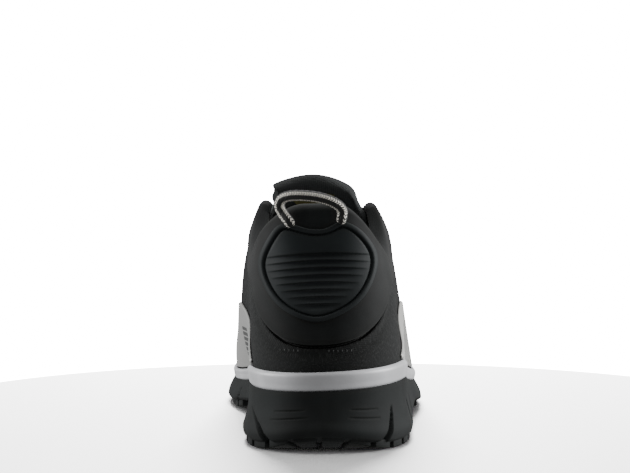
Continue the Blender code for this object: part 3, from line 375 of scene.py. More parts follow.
wall_shares = np.concatenate([np.linspace(0.0, 0.2, 16)[:-1], np.linspace(0.2, 1.0, 56)])
rows = []
for share in wall_shares:
    heel = line_through(OUTSOLE_WALL[:, [0, 1]], share)
    ball = line_through(OUTSOLE_WALL[:, [0, 2]], share)
    proud = heel_to_ball(sole_along, heel, ball) - wall_cut(share)
    plan = sole_foot + proud[:, None] * sole_out
    low = plate_height(sole_along)
    z = low + share * (band_bottom(plan[:, 0], sole_along) - low)
    rows.append(np.column_stack([plan, z]))
# The wall's top turns in under the midsole
rows.append(np.column_stack([sole_foot - 0.003 * sole_out, rows[-1][:, 2]]))
outsole_mesh = laid_grid("outsole_wall", np.stack(rows, axis=1), join=(True, False))

UNDERSIDE_COLUMNS = 31
underside = []
for t in to_toe:
    ends = []
    for side_t in (t, ROUND - t):
        along = share_along(foot_plan(side_t)[1])
        spot = foot_plan(side_t) + heel_to_ball(along, *OUTSOLE_WALL[0, 1:]) * outward(side_t)
        ends.append(np.array([*spot, plate_height(along)]))
    underside.append(np.linspace(*ends, UNDERSIDE_COLUMNS))
underside_mesh = laid_grid("outsole_underside", underside)

# The lugs' sizes, how far the edge lugs stand out at the heel and at the ball, and the arch that
# has none. The inner rows: share of the length at the first and last row, rows, lugs in each, and
# their size across and along.
LUG_PITCH = 0.0125
LUG_GAP = 0.0028
LUG_REACH = 0.0095
LUG_BITE = 0.0010
LUG_EASE = 0.00045
LUG_PROUD = (0.0036, 0.0034)
LUG_SLANT = 0.0022
LUG_SPARE = 0.0036
ARCH = (0.335, 0.555)
HEEL_END = 0.4
INNER_LUGS = [(0.0617, 0.2383, 5, 3, 0.0125, 0.0085), (0.5750, 0.8750, 7, 3, 0.0210, 0.0085)]
lugs = bmesh.new()


def add_lug(corners):
    """A block on four plan corners, from the tread up into the sole, with eased edges."""
    made = bmesh.ops.create_cube(lugs, size=2.0)["verts"]
    order = {(-1, -1): 0, (1, -1): 1, (1, 1): 2, (-1, 1): 3}
    for corner in made:
        x, y = corners[order[(round(corner.co.x), round(corner.co.y))]]
        along = share_along(y)
        top = float(plate_height(along)) + LUG_BITE
        corner.co = (x, y, top if corner.co.z > 0 else float(tread_height(along)))
    edges = list({edge for corner in made for edge in corner.link_edges})
    bmesh.ops.bevel(
        lugs, geom=edges, offset=LUG_EASE, segments=2, affect="EDGES", profile=0.5, material=-1
    )


fine_t = np.linspace(0.0, ROUND, 441)
run = run_along(foot_plan(fine_t))
lug_count = int(run[-1] // LUG_PITCH)
for k in range(lug_count):
    middle = (k + 0.5) * run[-1] / lug_count
    half = 0.5 * (LUG_PITCH - LUG_GAP)
    ends = [float(np.interp(place, run, fine_t)) for place in (middle - half, middle + half)]
    along = share_along(foot_plan(0.5 * sum(ends))[1])
    if ARCH[0] < along < ARCH[1]:
        continue
    edge = heel_to_ball(along, *LUG_PROUD)
    outer = [foot_plan(t) + edge * outward(t) for t in ends]
    inner = [foot_plan(t) + (edge - LUG_REACH) * outward(t) for t in ends]
    add_lug([outer[0], outer[1], inner[1], inner[0]])

outer_line, inner_line = foot_plan(to_toe), foot_plan(ROUND - to_toe)
for first, last, count, columns, across, length in INNER_LUGS:
    for row in range(count):
        along = first + (last - first) * row / (count - 1)
        ends = []
        for side in (-1, 1):
            y = (along + side * 0.55 * length / LENGTH) * LENGTH - HEEL_REST
            ends.append([np.interp(y, line[:, 1], line[:, 0]) for line in (inner_line, outer_line)])
        left, right = max(end[0] for end in ends), min(end[1] for end in ends)
        room = right - left - 2 * (LUG_REACH + LUG_GAP) + LUG_SPARE
        fit = min(across, (room - (columns - 1) * LUG_GAP) / columns)
        middle = 0.0 if along < HEEL_END else 0.5 * (left + right)
        for column in range(columns):
            x = middle + (column - 0.5 * (columns - 1)) * (fit + LUG_GAP)
            y = along * LENGTH - HEEL_REST
            slant = 0.0 if along < HEEL_END else LUG_SLANT * (column - 0.5 * (columns - 1))
            add_lug([
                (x - fit / 2, y - length / 2 - slant), (x + fit / 2, y - length / 2 + slant),
                (x + fit / 2, y + length / 2 + slant), (x - fit / 2, y + length / 2 - slant),
            ])
# Eased corners that bulge below the tread are laid flat on it
for corner in lugs.verts:
    corner.co.z = max(corner.co.z, float(tread_height(share_along(corner.co.y))))
bmesh.ops.recalc_face_normals(lugs, faces=lugs.faces)
lug_mesh = bpy.data.meshes.new("outsole_lugs")
lugs.to_mesh(lug_mesh)
lugs.free()
lug_mesh.set_sharp_from_angle(angle=math.radians(50))
for mesh in (outsole_mesh, underside_mesh, lug_mesh):
    piece(mesh.name, mesh, [rubber], "outsole_rubber", "outsole")

# Upper's last: the curved ribs that every piece above the sole is laid on. Each rib is one Bezier
# curve from the midsole's floor to the collar or the throat, and h is a share of its length.

WALL = 0.0024
LAYER = 0.0010
COLLAR_PAD = 0.0100


def rib_curves(t, steps=40):
    """Points up the ribs at places t, and the share of the rib's length at each."""
    t = np.asarray(t, float)
    foot = foot_plan(t)
    along = share_along(foot[:, 1])
    floor = band_bottom(foot[:, 0], along) + 2 * GAP + MIDSOLE_FLOOR
    a = np.column_stack([foot, floor])
    top = plan_place(rib_value("top_along", t), rib_value("top_side", t))
    d = np.column_stack([top, rib_value("rise", t) * COLLAR_HEIGHT])
    out = np.column_stack([outward(t), np.zeros(len(t))])
    up = np.array([0.0, 0.0, 1.0])
    chord = np.linalg.norm(d - a, axis=1)[:, None]
    lean, drop = np.radians(rib_value("lean", t))[:, None], np.radians(rib_value("drop", t))[:, None]
    b = a + rib_value("foot_pull", t)[:, None] * chord * (np.cos(lean) * up + np.sin(lean) * out)
    c = d + rib_value("top_pull", t)[:, None] * chord * (np.cos(drop) * out - np.sin(drop) * up)
    s = np.linspace(0.0, 1.0, steps + 1)[None, :, None]
    a, b, c, d = (p[:, None, :] for p in (a, b, c, d))
    points = (1 - s) ** 3 * a + 3 * s * (1 - s) ** 2 * b + 3 * s * s * (1 - s) * c + s**3 * d
    lengths = np.cumsum(np.linalg.norm(np.diff(points, axis=1), axis=2), axis=1)
    lengths = np.concatenate([np.zeros((len(t), 1)), lengths], axis=1)
    return points, lengths


def spread(t, h):
    """Places t and shares h as one grid: h may be one row for all t, or a row for each."""
    t = np.atleast_1d(np.asarray(t, float))
    h = np.asarray(h, float)
    return t, np.broadcast_to(h if h.ndim == 2 else h[None, :], (len(t), h.shape[-1]))


def skin(t, h):
    """The bare outer wall at places t and shares h."""
    t, h = spread(t, h)
    points, lengths = rib_curves(t)
    made = np.empty((*h.shape, 3))
    for n in range(len(t)):
        shares = lengths[n] / lengths[n][-1]
        for k in range(3):
            made[n, :, k] = np.interp(h[n], shares, points[n, :, k])
    return made


def skin_normal(t, h):
    t, h = spread(t, h)
    upward = skin(t, np.minimum(h + 0.02, 1.0)) - skin(t, np.maximum(h - 0.02, 0.0))
    onward = skin(t + 0.04, h) - skin(t - 0.04, h)
    normal = np.cross(onward, upward)
    return normal / np.linalg.norm(normal, axis=2, keepdims=True)


def on_upper(t, h, proud):
    """Points that stand proud of the bare wall."""
    proud = np.asarray(proud, float)
    return skin(t, h) + (proud[..., None] if proud.ndim else proud) * skin_normal(t, h)


def rib_length(t):
    return rib_curves(np.atleast_1d(t))[1][:, -1]


def layer_at(t, h):
    """The collar panel and the eyestay are one step thicker than the cloth under them."""
    t, h = spread(t, h)
    seam = rib_value("seam", t)[:, None]
    return LAYER * smooth_step(seam - 0.004, seam + 0.010, h)


def thickness_at(t, h):
    """The wall's thickness inwards: cloth below, padding near the collar."""
    t, h = spread(t, h)
    pad = rib_value("pad", t)[:, None] * COLLAR_PAD
    return WALL + (pad - WALL) * smooth_step(0.45, 0.90, h)


def skin_at_height(t, z):
    """The bare wall's plan point at places t and a height for each."""
    points, _ = rib_curves(t)
    ribs = zip(z, points)
    return np.array([[np.interp(level, rib[:, 2], rib[:, k]) for k in (0, 1)] for level, rib in ribs])


def share_at_height(t, z):
    points, lengths = rib_curves(t)
    ribs = zip(z, points, lengths)
    return np.array([np.interp(level, rib[:, 2], run / run[-1]) for level, rib, run in ribs])


# Midsole: a pale grey band of moulded foam that shows all round between the outsole and the
# upper, with a floor inside its rim. It is cemented to both.

# How far the band's face stands out, by share of its height, and how its top edge is eased
MIDSOLE_WALL = np.array([(0.00, 0.0012), (0.12, 0.0020), (0.75, 0.0026), (1.00, 0.0018)])
BAND_EASE = 0.0007
EASE_FROM = 0.88

# Moulded foam: matt, with a faint skin of pores under 1 mm and a few scuffs
foam, tree, shader = finish_named("moulded_grey_foam", {"Specular IOR Level": 0.7})
where = add_node(tree, "TexCoord").outputs["Object"]
blotch = add_node(tree, "TexNoise", {"Vector": where, "Scale": 60.0, "Detail": 4.0}).outputs["Fac"]
pores = add_node(tree, "TexNoise", {"Vector": where, "Scale": 1300.0, "Detail": 2.0}).outputs["Fac"]
tint(tree, shader, blotch, "a2a3a5", "b3b4b7", 0.35, 0.7)
dull_in_patches(tree, shader, blotch, 0.36, 0.50)
emboss(tree, shader, pores, 0.0001, 0.35)

rows = []
bottom = band_bottom(sole_foot[:, 0], sole_along)
top = band_top(sole_foot[:, 0], sole_along)
for share in np.linspace(0.0, 1.0, 23):
    z = bottom + share * (top - bottom)
    round_edge = BAND_EASE * max(share - EASE_FROM, 0.0) / (1.0 - EASE_FROM)
    plan = skin_at_height(sole_t, z) + (line_through(MIDSOLE_WALL, share) - round_edge) * sole_out
    rows.append(np.column_stack([plan, z]))
for proud, sink in ((1.5 * GAP, 0.0001), (-0.5 * GAP, 0.0030)):
    plan = skin_at_height(sole_t, top - sink) + proud * sole_out
    rows.append(np.column_stack([plan, top - sink]))
midsole_mesh = laid_grid("midsole_band", np.stack(rows, axis=1), join=(True, False))
piece("midsole_band", midsole_mesh, [foam], "grey_midsole", "midsole")

floor_rows = []
for t in to_toe:
    ends = []
    for side_t in (t, ROUND - t):
        spot = foot_plan(side_t)
        ends.append(np.array([*spot, band_bottom(spot[0], share_along(spot[1])) + GAP + MIDSOLE_FLOOR]))
    floor_rows.append(np.linspace(*ends, 25))
piece("midsole_floor", laid_grid("midsole_floor", floor_rows), [foam], "grey_midsole", "midsole")

# Insole: the loose footbed, a foam sheet faced with dark grey knitted cloth, cut to the midsole's
# floor and laid in through the collar.

INSOLE_THICKNESS = 0.0040
INSOLE_INSET = WALL + 0.0016
INSOLE_EASE = 0.003


def woven(tree, place, pitch_u, pitch_v, turn=0.0):
    """Threads that cross over and under, as a height from 0 to 1."""
    turned = add_node(tree, "Mapping", {"Vector": place, "Rotation": (0.0, 0.0, turn)})
    threads = []
    for way, pitch in (("X", pitch_u), ("Y", pitch_v)):
        links = {"Vector": turned.outputs["Vector"], "Scale": math.pi / (10.0 * pitch)}
        threads.append(add_node(tree, "TexWave", links, bands_direction=way).outputs["Fac"])
    crossed = add_node(tree, "Math", {0: threads[0], 1: threads[1]}, operation="MULTIPLY")
    return crossed.outputs[0]


def laid_uv(tree):
    return add_node(tree, "UVMap", uv_map="metres").outputs["UV"]


# Knitted cloth: fine dark grey loops of about 1 mm, matt and a little fluffy
knit, tree, shader = finish_named(
    "knitted_grey_cloth", {"Roughness": 0.95, "Specular IOR Level": 0.15, "Sheen Weight": 0.25}
)
loops = woven(tree, laid_uv(tree), 0.0011, 0.0009)
tint(tree, shader, loops, "232423", "3b3c3a")
emboss(tree, shader, loops, 0.0002, 0.6)

sections = []
for t in to_toe:
    ends = [foot_plan(side_t) - INSOLE_INSET * outward(side_t) for side_t in (t, ROUND - t)]
    wide = np.linalg.norm(ends[1] - ends[0])
    ring = []
    for level, shares in ((1.0, np.linspace(0.0, 1.0, 33)), (0.0, np.linspace(1.0, 0.0, 33))):
        for share in shares:
            x, y = ends[0] + share * (ends[1] - ends[0])
            rim = 1.0 - min(min(share, 1.0 - share) * wide / INSOLE_EASE, 1.0)
            low = band_bottom(x, share_along(y)) + 2 * GAP + MIDSOLE_FLOOR
            ring.append((x, y, float(low + level * INSOLE_THICKNESS * (1.0 - 0.3 * rim * rim))))
    sections.append(ring)
insole_mesh = laid_grid("insole", sections, join=(False, True))
piece("insole", insole_mesh, [knit], "insole_cloth", "insole")

# Upper: one closed sewn shell of black woven textile, lined with mesh, with a smooth padded
# softshell panel sewn round the collar along a deep soft seam, and a microfibre eyestay at the
# throat. It is lasted and cemented into the midsole.


def ridge_at(value, height, middle, width):
    """A soft ridge or, with a height below 0, a trough across a value."""
    return height * np.exp(-(((value - middle) / width) ** 2))


# Flex creases across the vamp: how far along, how deep, and half their width, in metres
VAMP_CREASES = [(0.148, 0.0006, 0.0040), (0.163, 0.0008, 0.0045), (0.179, 0.0005, 0.0040)]
COLLAR_END = 5.7
SEAM_BAND = 0.0065
# Relief beside the collar's seam: how proud, how far above the seam, and half its width
SEAM_GROOVE = (-0.0026, 0.0002, 0.0010)
SEAM_ROLL = (0.0005, 0.0028, 0.0014)
SEAM_VALLEY = (-0.0008, -0.0035, 0.0030)
EYESTAY_GROOVE = (-0.00035, 0.0026, 0.0006)
COLLAR_SWELL = 0.0007
# Half the width of the painted seam shade on each side of the collar's seam
SEAM_SHADE_HALF_WIDTH = 0.0009
# The rolled top edge: its height as a share of half its thickness, the length over which the wall
# turns into it, and how many of its rows the lining takes
ROLL_HEIGHT = 0.75
ROLL_BLEND = 0.012
LINED_ROWS = 4


def above_seam(t, h):
    """How far a point of the skin lies above the collar's seam, square to it."""
    t, h = spread(t, h)
    seam_h = rib_value("seam", t)[:, None]
    after, before = [skin(t + step, rib_value("seam", t + step)[:, None]) for step in (0.05, -0.05)]
    ahead = after - before
    up_rib = skin(t, seam_h + 0.01) - skin(t, seam_h - 0.01)
    square = np.linalg.norm(np.cross(ahead, up_rib), axis=-1)
    square /= np.linalg.norm(ahead, axis=-1) * np.linalg.norm(up_rib, axis=-1)
    return (h - seam_h) * rib_length(t)[:, None] * square


def upper_relief(t, h):
    """How far the upper's outside stands proud of the bare wall, with its seam and creases."""
    t, h = spread(t, h)
    above = above_seam(t, h)
    from_back = np.abs(near(t, 0.0))[:, None]
    collar = 1.0 - smooth_step(COLLAR_END - 0.5, COLLAR_END + 0.4, from_back)
    rear = 1.0 - smooth_step(0.6, 2.0, from_back)
    swell = COLLAR_SWELL * smooth_step(0.0, 0.006, above) * (1.0 - 0.4 * smooth_step(0.2, 1.0, h))
    valley = (1.0 + 0.75 * rear) * ridge_at(above, *SEAM_VALLEY)
    beside_seam = ridge_at(above, *SEAM_GROOVE) + ridge_at(above, *SEAM_ROLL) + valley + swell
    proud = layer_at(t, h) + collar * beside_seam + (1.0 - collar) * ridge_at(above, *EYESTAY_GROOVE)
    spots = skin(t, h)
    for middle, depth, half in VAMP_CREASES:
        bent = spots[..., 1] - middle - 0.010 * (spots[..., 0] / 0.05) ** 2
        reach = smooth_step(0.28, 0.62, h) * (1.0 - smooth_step(-0.001, 0.002, above))
        proud = proud - reach * ridge_at(bent, depth, 0.0, half)
    return proud


upper_t = np.concatenate([
    np.arange(-COLLAR_END, COLLAR_END, 0.05), np.arange(COLLAR_END, ROUND - COLLAR_END, 0.06),
])
length = rib_length(upper_t)[:, None]
seam = rib_value("seam", upper_t)[:, None]
at_top = np.array([1.0])
top_normal = skin_normal(upper_t, at_top)[:, 0]
below_top, top = np.moveaxis(skin(upper_t, np.array([0.96, 1.0])), 1, 0)
top_up = top - below_top
top_up /= np.linalg.norm(top_up, axis=1, keepdims=True)
outer_edge = top + LAYER * top_normal
inner_edge = top - thickness_at(upper_t, at_top) * top_normal
edge_middle = 0.5 * (outer_edge + inner_edge)
edge_radius = 0.5 * np.linalg.norm(outer_edge - inner_edge, axis=1, keepdims=True)
high = 1.0 - ROLL_HEIGHT * edge_radius / length

# Rows up the outside, closer together on both sides of the seam
margin = SEAM_BAND / length
below = np.linspace(0.0, 1.0, 41)[None, :-1] * (seam - margin)
around = seam + np.linspace(-1.0, 1.0, 44)[None, :] * margin
above = seam + margin + np.linspace(0.0, 1.0, 43)[None, 1:] * (high - seam - margin)
outside_h = np.concatenate([below, around, above], axis=1)
outside = on_upper(upper_t, outside_h, upper_relief(upper_t, outside_h))
fade = smooth_step(0.0, 1.0, 1.0 - (high - outside_h) * length / ROLL_BLEND)[..., None]
outside += fade * ((outer_edge - ROLL_HEIGHT * edge_radius * top_up)[:, None, :] - outside[:, -1:, :])
turns = np.radians(np.linspace(0.0, 180.0, 19))[1:-1]
roll = edge_middle[:, None, :] + edge_radius[:, None, :] * (
    np.cos(turns)[None, :, None] * top_normal[:, None, :]
    + ROLL_HEIGHT * (np.sin(turns)[None, :, None] - 1.0) * top_up[:, None, :]
)
inside_h = high * np.linspace(1.0, 0.0, 37)[None, :]
inside = on_upper(upper_t, inside_h, -thickness_at(upper_t, inside_h))
fade = smooth_step(0.0, 1.0, 1.0 - (high - inside_h) * length / ROLL_BLEND)[..., None]
inside += fade * ((inner_edge - ROLL_HEIGHT * edge_radius * top_up)[:, None, :] - inside[:, :1, :])
inside[:, -1, 2] = outside[:, 0, 2]
upper_points = np.concatenate([outside, roll, inside], axis=1)

# The upper's materials, by their place in upper_finishes
in_collar = np.abs(near(upper_t + 0.025, 0.0)) < COLLAR_END
cell = np.zeros(upper_points.shape[:2], int)
first_above = below.shape[1] + around.shape[1] // 2
last_outside = outside_h.shape[1] + len(turns) - LINED_ROWS
cell[:, first_above:last_outside] = np.where(in_collar, 1, 2)[:, None]
cell[:, last_outside:] = 3
# Cells close to the collar's seam take the fifth finish, a near-black strip that paints the shade in the
# seam's groove
in_seam_shade = in_collar[:, None] & (np.abs(above_seam(upper_t, outside_h) + 0.0001) < SEAM_SHADE_HALF_WIDTH)
cell[:, : outside_h.shape[1]][in_seam_shade] = 4
upper_mesh = laid_grid("upper", upper_points, join=(True, True), finish_of=cell)

# Woven textile: dark threads of about 0.7 mm with faint paler flecks that run up the shoe
textile, tree, shader = finish_named(
    "woven_black_polyester", {"Roughness": 0.9, "Specular IOR Level": 0.12, "Sheen Weight": 0.02}
)
spot = laid_uv(tree)
threads = woven(tree, spot, 0.0008, 0.0008, 0.5)
drawn = add_node(tree, "Mapping", {"Vector": spot, "Scale": (1500.0, 320.0, 1.0)}).outputs["Vector"]
flecks = add_node(tree, "TexNoise", {"Vector": drawn, "Scale": 1.0}).outputs["Fac"]
tint(tree, shader, flecks, "1c1d1d", "343535", 0.50, 0.80)
emboss(tree, shader, threads, 0.0003, 0.6)

# Softshell: a smooth brushed stretch cloth, soft black, with only a fine nap to see
softshell, tree, shader = finish_named(
    "brushed_black_softshell", {"Roughness": 0.85, "Specular IOR Level": 0.15, "Sheen Weight": 0.03}
)
where = add_node(tree, "TexCoord").outputs["Object"]
nap = add_node(tree, "TexNoise", {"Vector": where, "Scale": 2600.0, "Detail": 2.0}).outputs["Fac"]
patchy = add_node(tree, "TexNoise", {"Vector": where, "Scale": 70.0, "Detail": 3.0}).outputs["Fac"]
tint(tree, shader, patchy, "171818", "1f2020", 0.35, 0.7)
emboss(tree, shader, nap, 0.0001, 0.5)

# Microfibre: a smooth pebbled facing cloth at the throat, with a slight gloss on its grain
microfibre, tree, shader = finish_named(
    "pebbled_black_microfibre", {"Roughness": 0.65, "Specular IOR Level": 0.22}
)
where = add_node(tree, "TexCoord").outputs["Object"]
pebbles = add_node(tree, "TexVoronoi", {"Vector": where, "Scale": 1100.0}).outputs["Distance"]
tint(tree, shader, pebbles, "151616", "1e1f1f")
emboss(tree, shader, pebbles, 0.0001, 0.4)

# Lining: padded spacer mesh, black, with rows of open holes about 2 mm apart
lining, tree, shader = finish_named(
    "black_spacer_mesh", {"Roughness": 0.92, "Specular IOR Level": 0.15, "Sheen Weight": 0.1}
)
holes = add_node(tree, "TexVoronoi", {"Vector": laid_uv(tree), "Scale": 480.0, "Randomness": 0.15})
tint(tree, shader, holes.outputs["Distance"], "060606", "1c1d1d", 0.15, 0.5)
emboss(tree, shader, holes.outputs["Distance"], 0.0004, 0.7)

# Painted seam shade: a dull near-black finish laid along the collar's seam, which takes almost no light
# and paints the shade deep in its groove, not a real tape
painted_seam_shade, tree, shader = finish_named(
    "painted_shade_in_collar_seam", {"Roughness": 0.95, "Specular IOR Level": 0.02}
)
where = add_node(tree, "TexCoord").outputs["Object"]
weave = add_node(tree, "TexNoise", {"Vector": where, "Scale": 1800.0, "Detail": 2.0}).outputs["Fac"]
tint(tree, shader, weave, "060606", "0c0c0c")
emboss(tree, shader, weave, 0.0001, 0.4)

upper_finishes = [textile, softshell, microfibre, lining, painted_seam_shade]
piece("upper", upper_mesh, upper_finishes, "black_upper_cloth", "upper")

# Stitching: black bonded thread that holds the eyestay, and a row of short upright stitches
# across the lower back of the heel.

STITCH_LENGTH = 0.0024
STITCH_PITCH = 0.0032
STITCH_RADIUS = 0.00028
LOW_STITCH_HEIGHT = 0.0478
LOW_STITCH_LENGTH = 0.0013
LOW_STITCH_PITCH = 0.0021
LOW_STITCH_ROWS = ((-0.0223, -0.0120), (0.0005, 0.0112))
EYESTAY_ROWS = (0.0026, 0.0052)

# Bonded thread: twisted polyester, dark grey, with a little more gloss than the cloth
thread, tree, shader = finish_named(
    "bonded_polyester_thread", {"Roughness": 0.55, "Specular IOR Level": 0.5}
)
where = add_node(tree, "TexCoord").outputs["Object"]
twist = add_node(tree, "TexWave", {"Vector": where, "Scale": 900.0}, bands_direction="DIAGONAL")
tint(tree, shader, twist.outputs["Fac"], "232424", "363838")

stitches = bmesh.new()


def add_stitch(middle, ahead, long):
    """One stitch: a small bead drawn out along the thread."""
    ahead = Vector(ahead).normalized()
    turn = ahead.to_track_quat("Z", "X").to_matrix().to_4x4()
    size = Matrix.Diagonal((STITCH_RADIUS, STITCH_RADIUS, 0.5 * long, 1.0))
    matrix = Matrix.Translation(Vector(middle)) @ turn @ size
    bmesh.ops.create_uvsphere(stitches, u_segments=6, v_segments=5, radius=1.0, matrix=matrix)


def points_at(places, run, line):
    """Points at places along a line whose own points lie at run."""
    return np.stack([np.interp(places, run, line[:, axis]) for axis in range(3)], axis=-1)


def add_stitch_row(line):
    """Stitches evenly along a line of points."""
    run = run_along(line)
    for k in range(int(run[-1] / STITCH_PITCH)):
        ends = points_at([k * STITCH_PITCH, k * STITCH_PITCH + STITCH_LENGTH], run, line)
        add_stitch(0.5 * (ends[0] + ends[1]), ends[1] - ends[0], STITCH_LENGTH)


for offset in EYESTAY_ROWS:
    row_t = np.linspace(6.1, ROUND - 6.1, 240)
    row_h = rib_value("seam", row_t) + offset / rib_length(row_t)
    add_stitch_row(on_upper(row_t, row_h[:, None], LAYER + 0.00005)[:, 0])

low_t = np.linspace(-1.6, 1.7, 200)
low_h = share_at_height(low_t, np.full(200, LOW_STITCH_HEIGHT))
low_line = on_upper(low_t, low_h[:, None], -0.0003)[:, 0]
for first, last in LOW_STITCH_ROWS:
    for x in np.arange(first, last, LOW_STITCH_PITCH):
        add_stitch(points_at(x, low_line[:, 0], low_line), (0.0, 0.0, 1.0), LOW_STITCH_LENGTH)
stitch_mesh = bpy.data.meshes.new("stitches")
stitches.to_mesh(stitch_mesh)
stitches.free()
piece("stitches", stitch_mesh, [thread], "black_upper_cloth")

# Side panels: light metallic grey film, welded to both sides of the upper from the heel's corners
# forward. The outer one is printed with a fine ripple, the inner one with a comb of short blocks.

OVERLAY = 0.0010
FILM_EDGE = 0.0006
RIM_CLEARANCE = 0.0008
SEAM_CLEARANCE = 0.012
# The ripple's pitch, and the slanting line where it starts: a height, and its climb along the film
WAVE_PITCH = 0.0052
WAVE_START = 0.0607
WAVE_CLIMB = 0.92
# The comb's middle along the film, half its width, its top above the floor and its pitch
COMB_MIDDLE = 0.090
COMB_HALF_WIDTH = 0.0072
COMB_TOP = 0.0487
COMB_PITCH = 0.0029
PRINT_EDGE = 0.0006
# Lines along the upper: t, then the share of the way from the sole's rim up to the collar's seam
SIDE_PANEL_EDGE = [
    (2 + 2 / 3, 0.05), (3.5, 0.28), (4.5, 0.42), (5.5, 0.48), (6.25, 0.50), (7 + 1 / 3, 0.42),
]


def rim_share(t, clearance):
    """The share of each rib's length at which it is clear of the midsole's rim."""
    foot = foot_plan(t)
    return share_at_height(t, band_top(foot[:, 0], share_along(foot[:, 1])) + clearance)


def welded_sheet(name, t, low, high, lift, thickness, rows=64):
    """A thin sheet on the upper between two lines, its edges eased down to its back."""
    shares = np.linspace(0.0, 1.0, rows + 1)
    h = low[:, None] + (high - low)[:, None] * shares[None, :]
    flat = skin(t, h)
    run = run_along(flat[:, rows // 2])
    tall = (high - low) * rib_length(t)
    to_edge = np.minimum(shares, 1.0 - shares)[None, :] * tall[:, None]
    to_end = np.minimum(run, run[-1] - run)[:, None]
    ease = np.sqrt(np.clip(np.minimum(to_edge, to_end) / FILM_EDGE, 0.0, 1.0))
    face = on_upper(t, h, lift + thickness * ease)
    back = on_upper(t, h, np.full(h.shape, lift))[:, ::-1]
    return laid_grid(name, np.concatenate([face, back], axis=1), join=(False, True))


def printed_film(name):
    """Silvery film with a satin face and a fine fleck, still without its print."""
    made, tree, shader = finish_named(
        name, {"Metallic": 0.35, "Roughness": 0.42, "Coat Weight": 0.15, "Coat Roughness": 0.3}
    )
    spot = laid_uv(tree)
    fleck = add_node(tree, "TexNoise", {"Vector": spot, "Scale": 1600.0, "Detail": 2.0}).outputs["Fac"]
    emboss(tree, shader, fleck, 0.00006, 0.4)
    place = add_node(tree, "TexCoord").outputs["Object"]
    height = add_node(tree, "SeparateXYZ", {"Vector": place}).outputs["Z"]
    return made, tree, shader, spot, height


# Rippled film: pale at the heel, then a fine generic ripple print that starts along a slanting line
rippled_film, tree, shader, spot, height = printed_film("silver_film_with_ripple_print")
run = add_node(tree, "SeparateXYZ", {"Vector": spot}).outputs["X"]
ripple = {"Scale": math.pi / (10.0 * WAVE_PITCH), "Distortion": 3.4, "Detail": 1.0, "Detail Scale": 0.45}
waves = add_node(tree, "TexWave", {"Vector": spot, **ripple}, bands_direction="X")
lines = add_node(tree, "MapRange", {"Value": waves.outputs["Fac"], "From Min": 0.42, "From Max": 0.62})
ahead = add_node(tree, "Math", {0: height, 1: -WAVE_CLIMB, 2: run}, operation="MULTIPLY_ADD")
start = {"From Min": WAVE_START, "From Max": WAVE_START + PRINT_EDGE}
begun = add_node(tree, "MapRange", {"Value": ahead.outputs[0], **start})
marks = add_node(tree, "Math", {0: lines.outputs[0], 1: begun.outputs[0]}, operation="MULTIPLY")
tint(tree, shader, marks.outputs[0], "b2b2ae", "3a3b3b")

# Combed film: plain pale film with one upright comb of short dark blocks, about 3 mm apart
combed_film, tree, shader, spot, height = printed_film("silver_film_with_comb_print")
run = add_node(tree, "SeparateXYZ", {"Vector": spot}).outputs["X"]
beside = add_node(tree, "Math", {0: run, 1: COMB_MIDDLE}, operation="SUBTRACT")
beside = add_node(tree, "Math", {0: beside.outputs[0]}, operation="ABSOLUTE")
tooth = add_node(tree, "Math", {0: height, 1: 0.5 * COMB_PITCH}, operation="PINGPONG")
limits = []
for value, least, most in (
    (beside.outputs[0], COMB_HALF_WIDTH + 0.5 * PRINT_EDGE, COMB_HALF_WIDTH - 0.5 * PRINT_EDGE),
    (height, COMB_TOP + 0.5 * PRINT_EDGE, COMB_TOP - 0.5 * PRINT_EDGE),
    (tooth.outputs[0], 0.12 * COMB_PITCH, 0.16 * COMB_PITCH),
):
    made = add_node(tree, "MapRange", {"Value": value, "From Min": least, "From Max": most})
    limits.append(made.outputs[0])
marks = add_node(tree, "Math", {0: limits[0], 1: limits[1]}, operation="MULTIPLY")
marks = add_node(tree, "Math", {0: marks.outputs[0], 1: limits[2]}, operation="MULTIPLY")
tint(tree, shader, marks.outputs[0], "929290", "2a2b2b")

side_t = np.linspace(SIDE_PANEL_EDGE[0][0], SIDE_PANEL_EDGE[-1][0], 121)
for name, t, film in (
    ("side_panel_outer", side_t, rippled_film),
    ("side_panel_inner", ROUND - side_t, combed_film),
):
    low = rim_share(t, RIM_CLEARANCE)
    share = line_through(SIDE_PANEL_EDGE, side_t)
    high = low + share * (rib_value("seam", t) - SEAM_CLEARANCE - low)
    mesh = welded_sheet(f"{name}_film", t, low, high, 1.5 * GAP, OVERLAY)
    piece(f"{name}_film", mesh, [film], "side_panel_film", name)

# Toe cap: a black scuff sheet moulded over the toe, with a fine raised dot grain, cemented on.

TOE_OVERLAY = 0.0014
TOE_CAP_EDGE = [
    (8 + 2 / 3, 0.10), (9.2, 0.36), (9.9, 0.56), (11.0, 0.64), (12.1, 0.56), (12.8, 0.36),
    (13 + 1 / 3, 0.10),
]

# Scuff rubber: black, satin, with raised dots about 1.5 mm apart
scuff, tree, shader = finish_named("dotted_scuff_rubber", {"Roughness": 0.5, "Specular IOR Level": 0.45})
dots = add_node(tree, "TexVoronoi", {"Vector": laid_uv(tree), "Scale": 650.0, "Randomness": 0.0})
tint(tree, shader, dots.outputs["Distance"], "242525", "171818", 0.1, 0.5)
raised = add_node(tree, "MapRange", {"Value": dots.outputs["Distance"], "To Min": 1.0, "To Max": 0.0})
emboss(tree, shader, raised.outputs["Result"], 0.00025, 0.5)

toe_t = np.linspace(TOE_CAP_EDGE[0][0], TOE_CAP_EDGE[-1][0], 141)
low = rim_share(toe_t, RIM_CLEARANCE)
high = low + line_through(TOE_CAP_EDGE, toe_t) * (rib_value("seam", toe_t) - low)
toe_mesh = welded_sheet("toe_cap_sheet", toe_t, low, high, 1.7 * GAP, TOE_OVERLAY)
piece("toe_cap_sheet", toe_mesh, [scuff], "toe_cap_film", "toe_cap")

# Heel patch: a black plastic moulding welded to the collar panel. A raised rim runs round a
# groove, and the plate inside it has eight bowed gills that fade out at both ends.

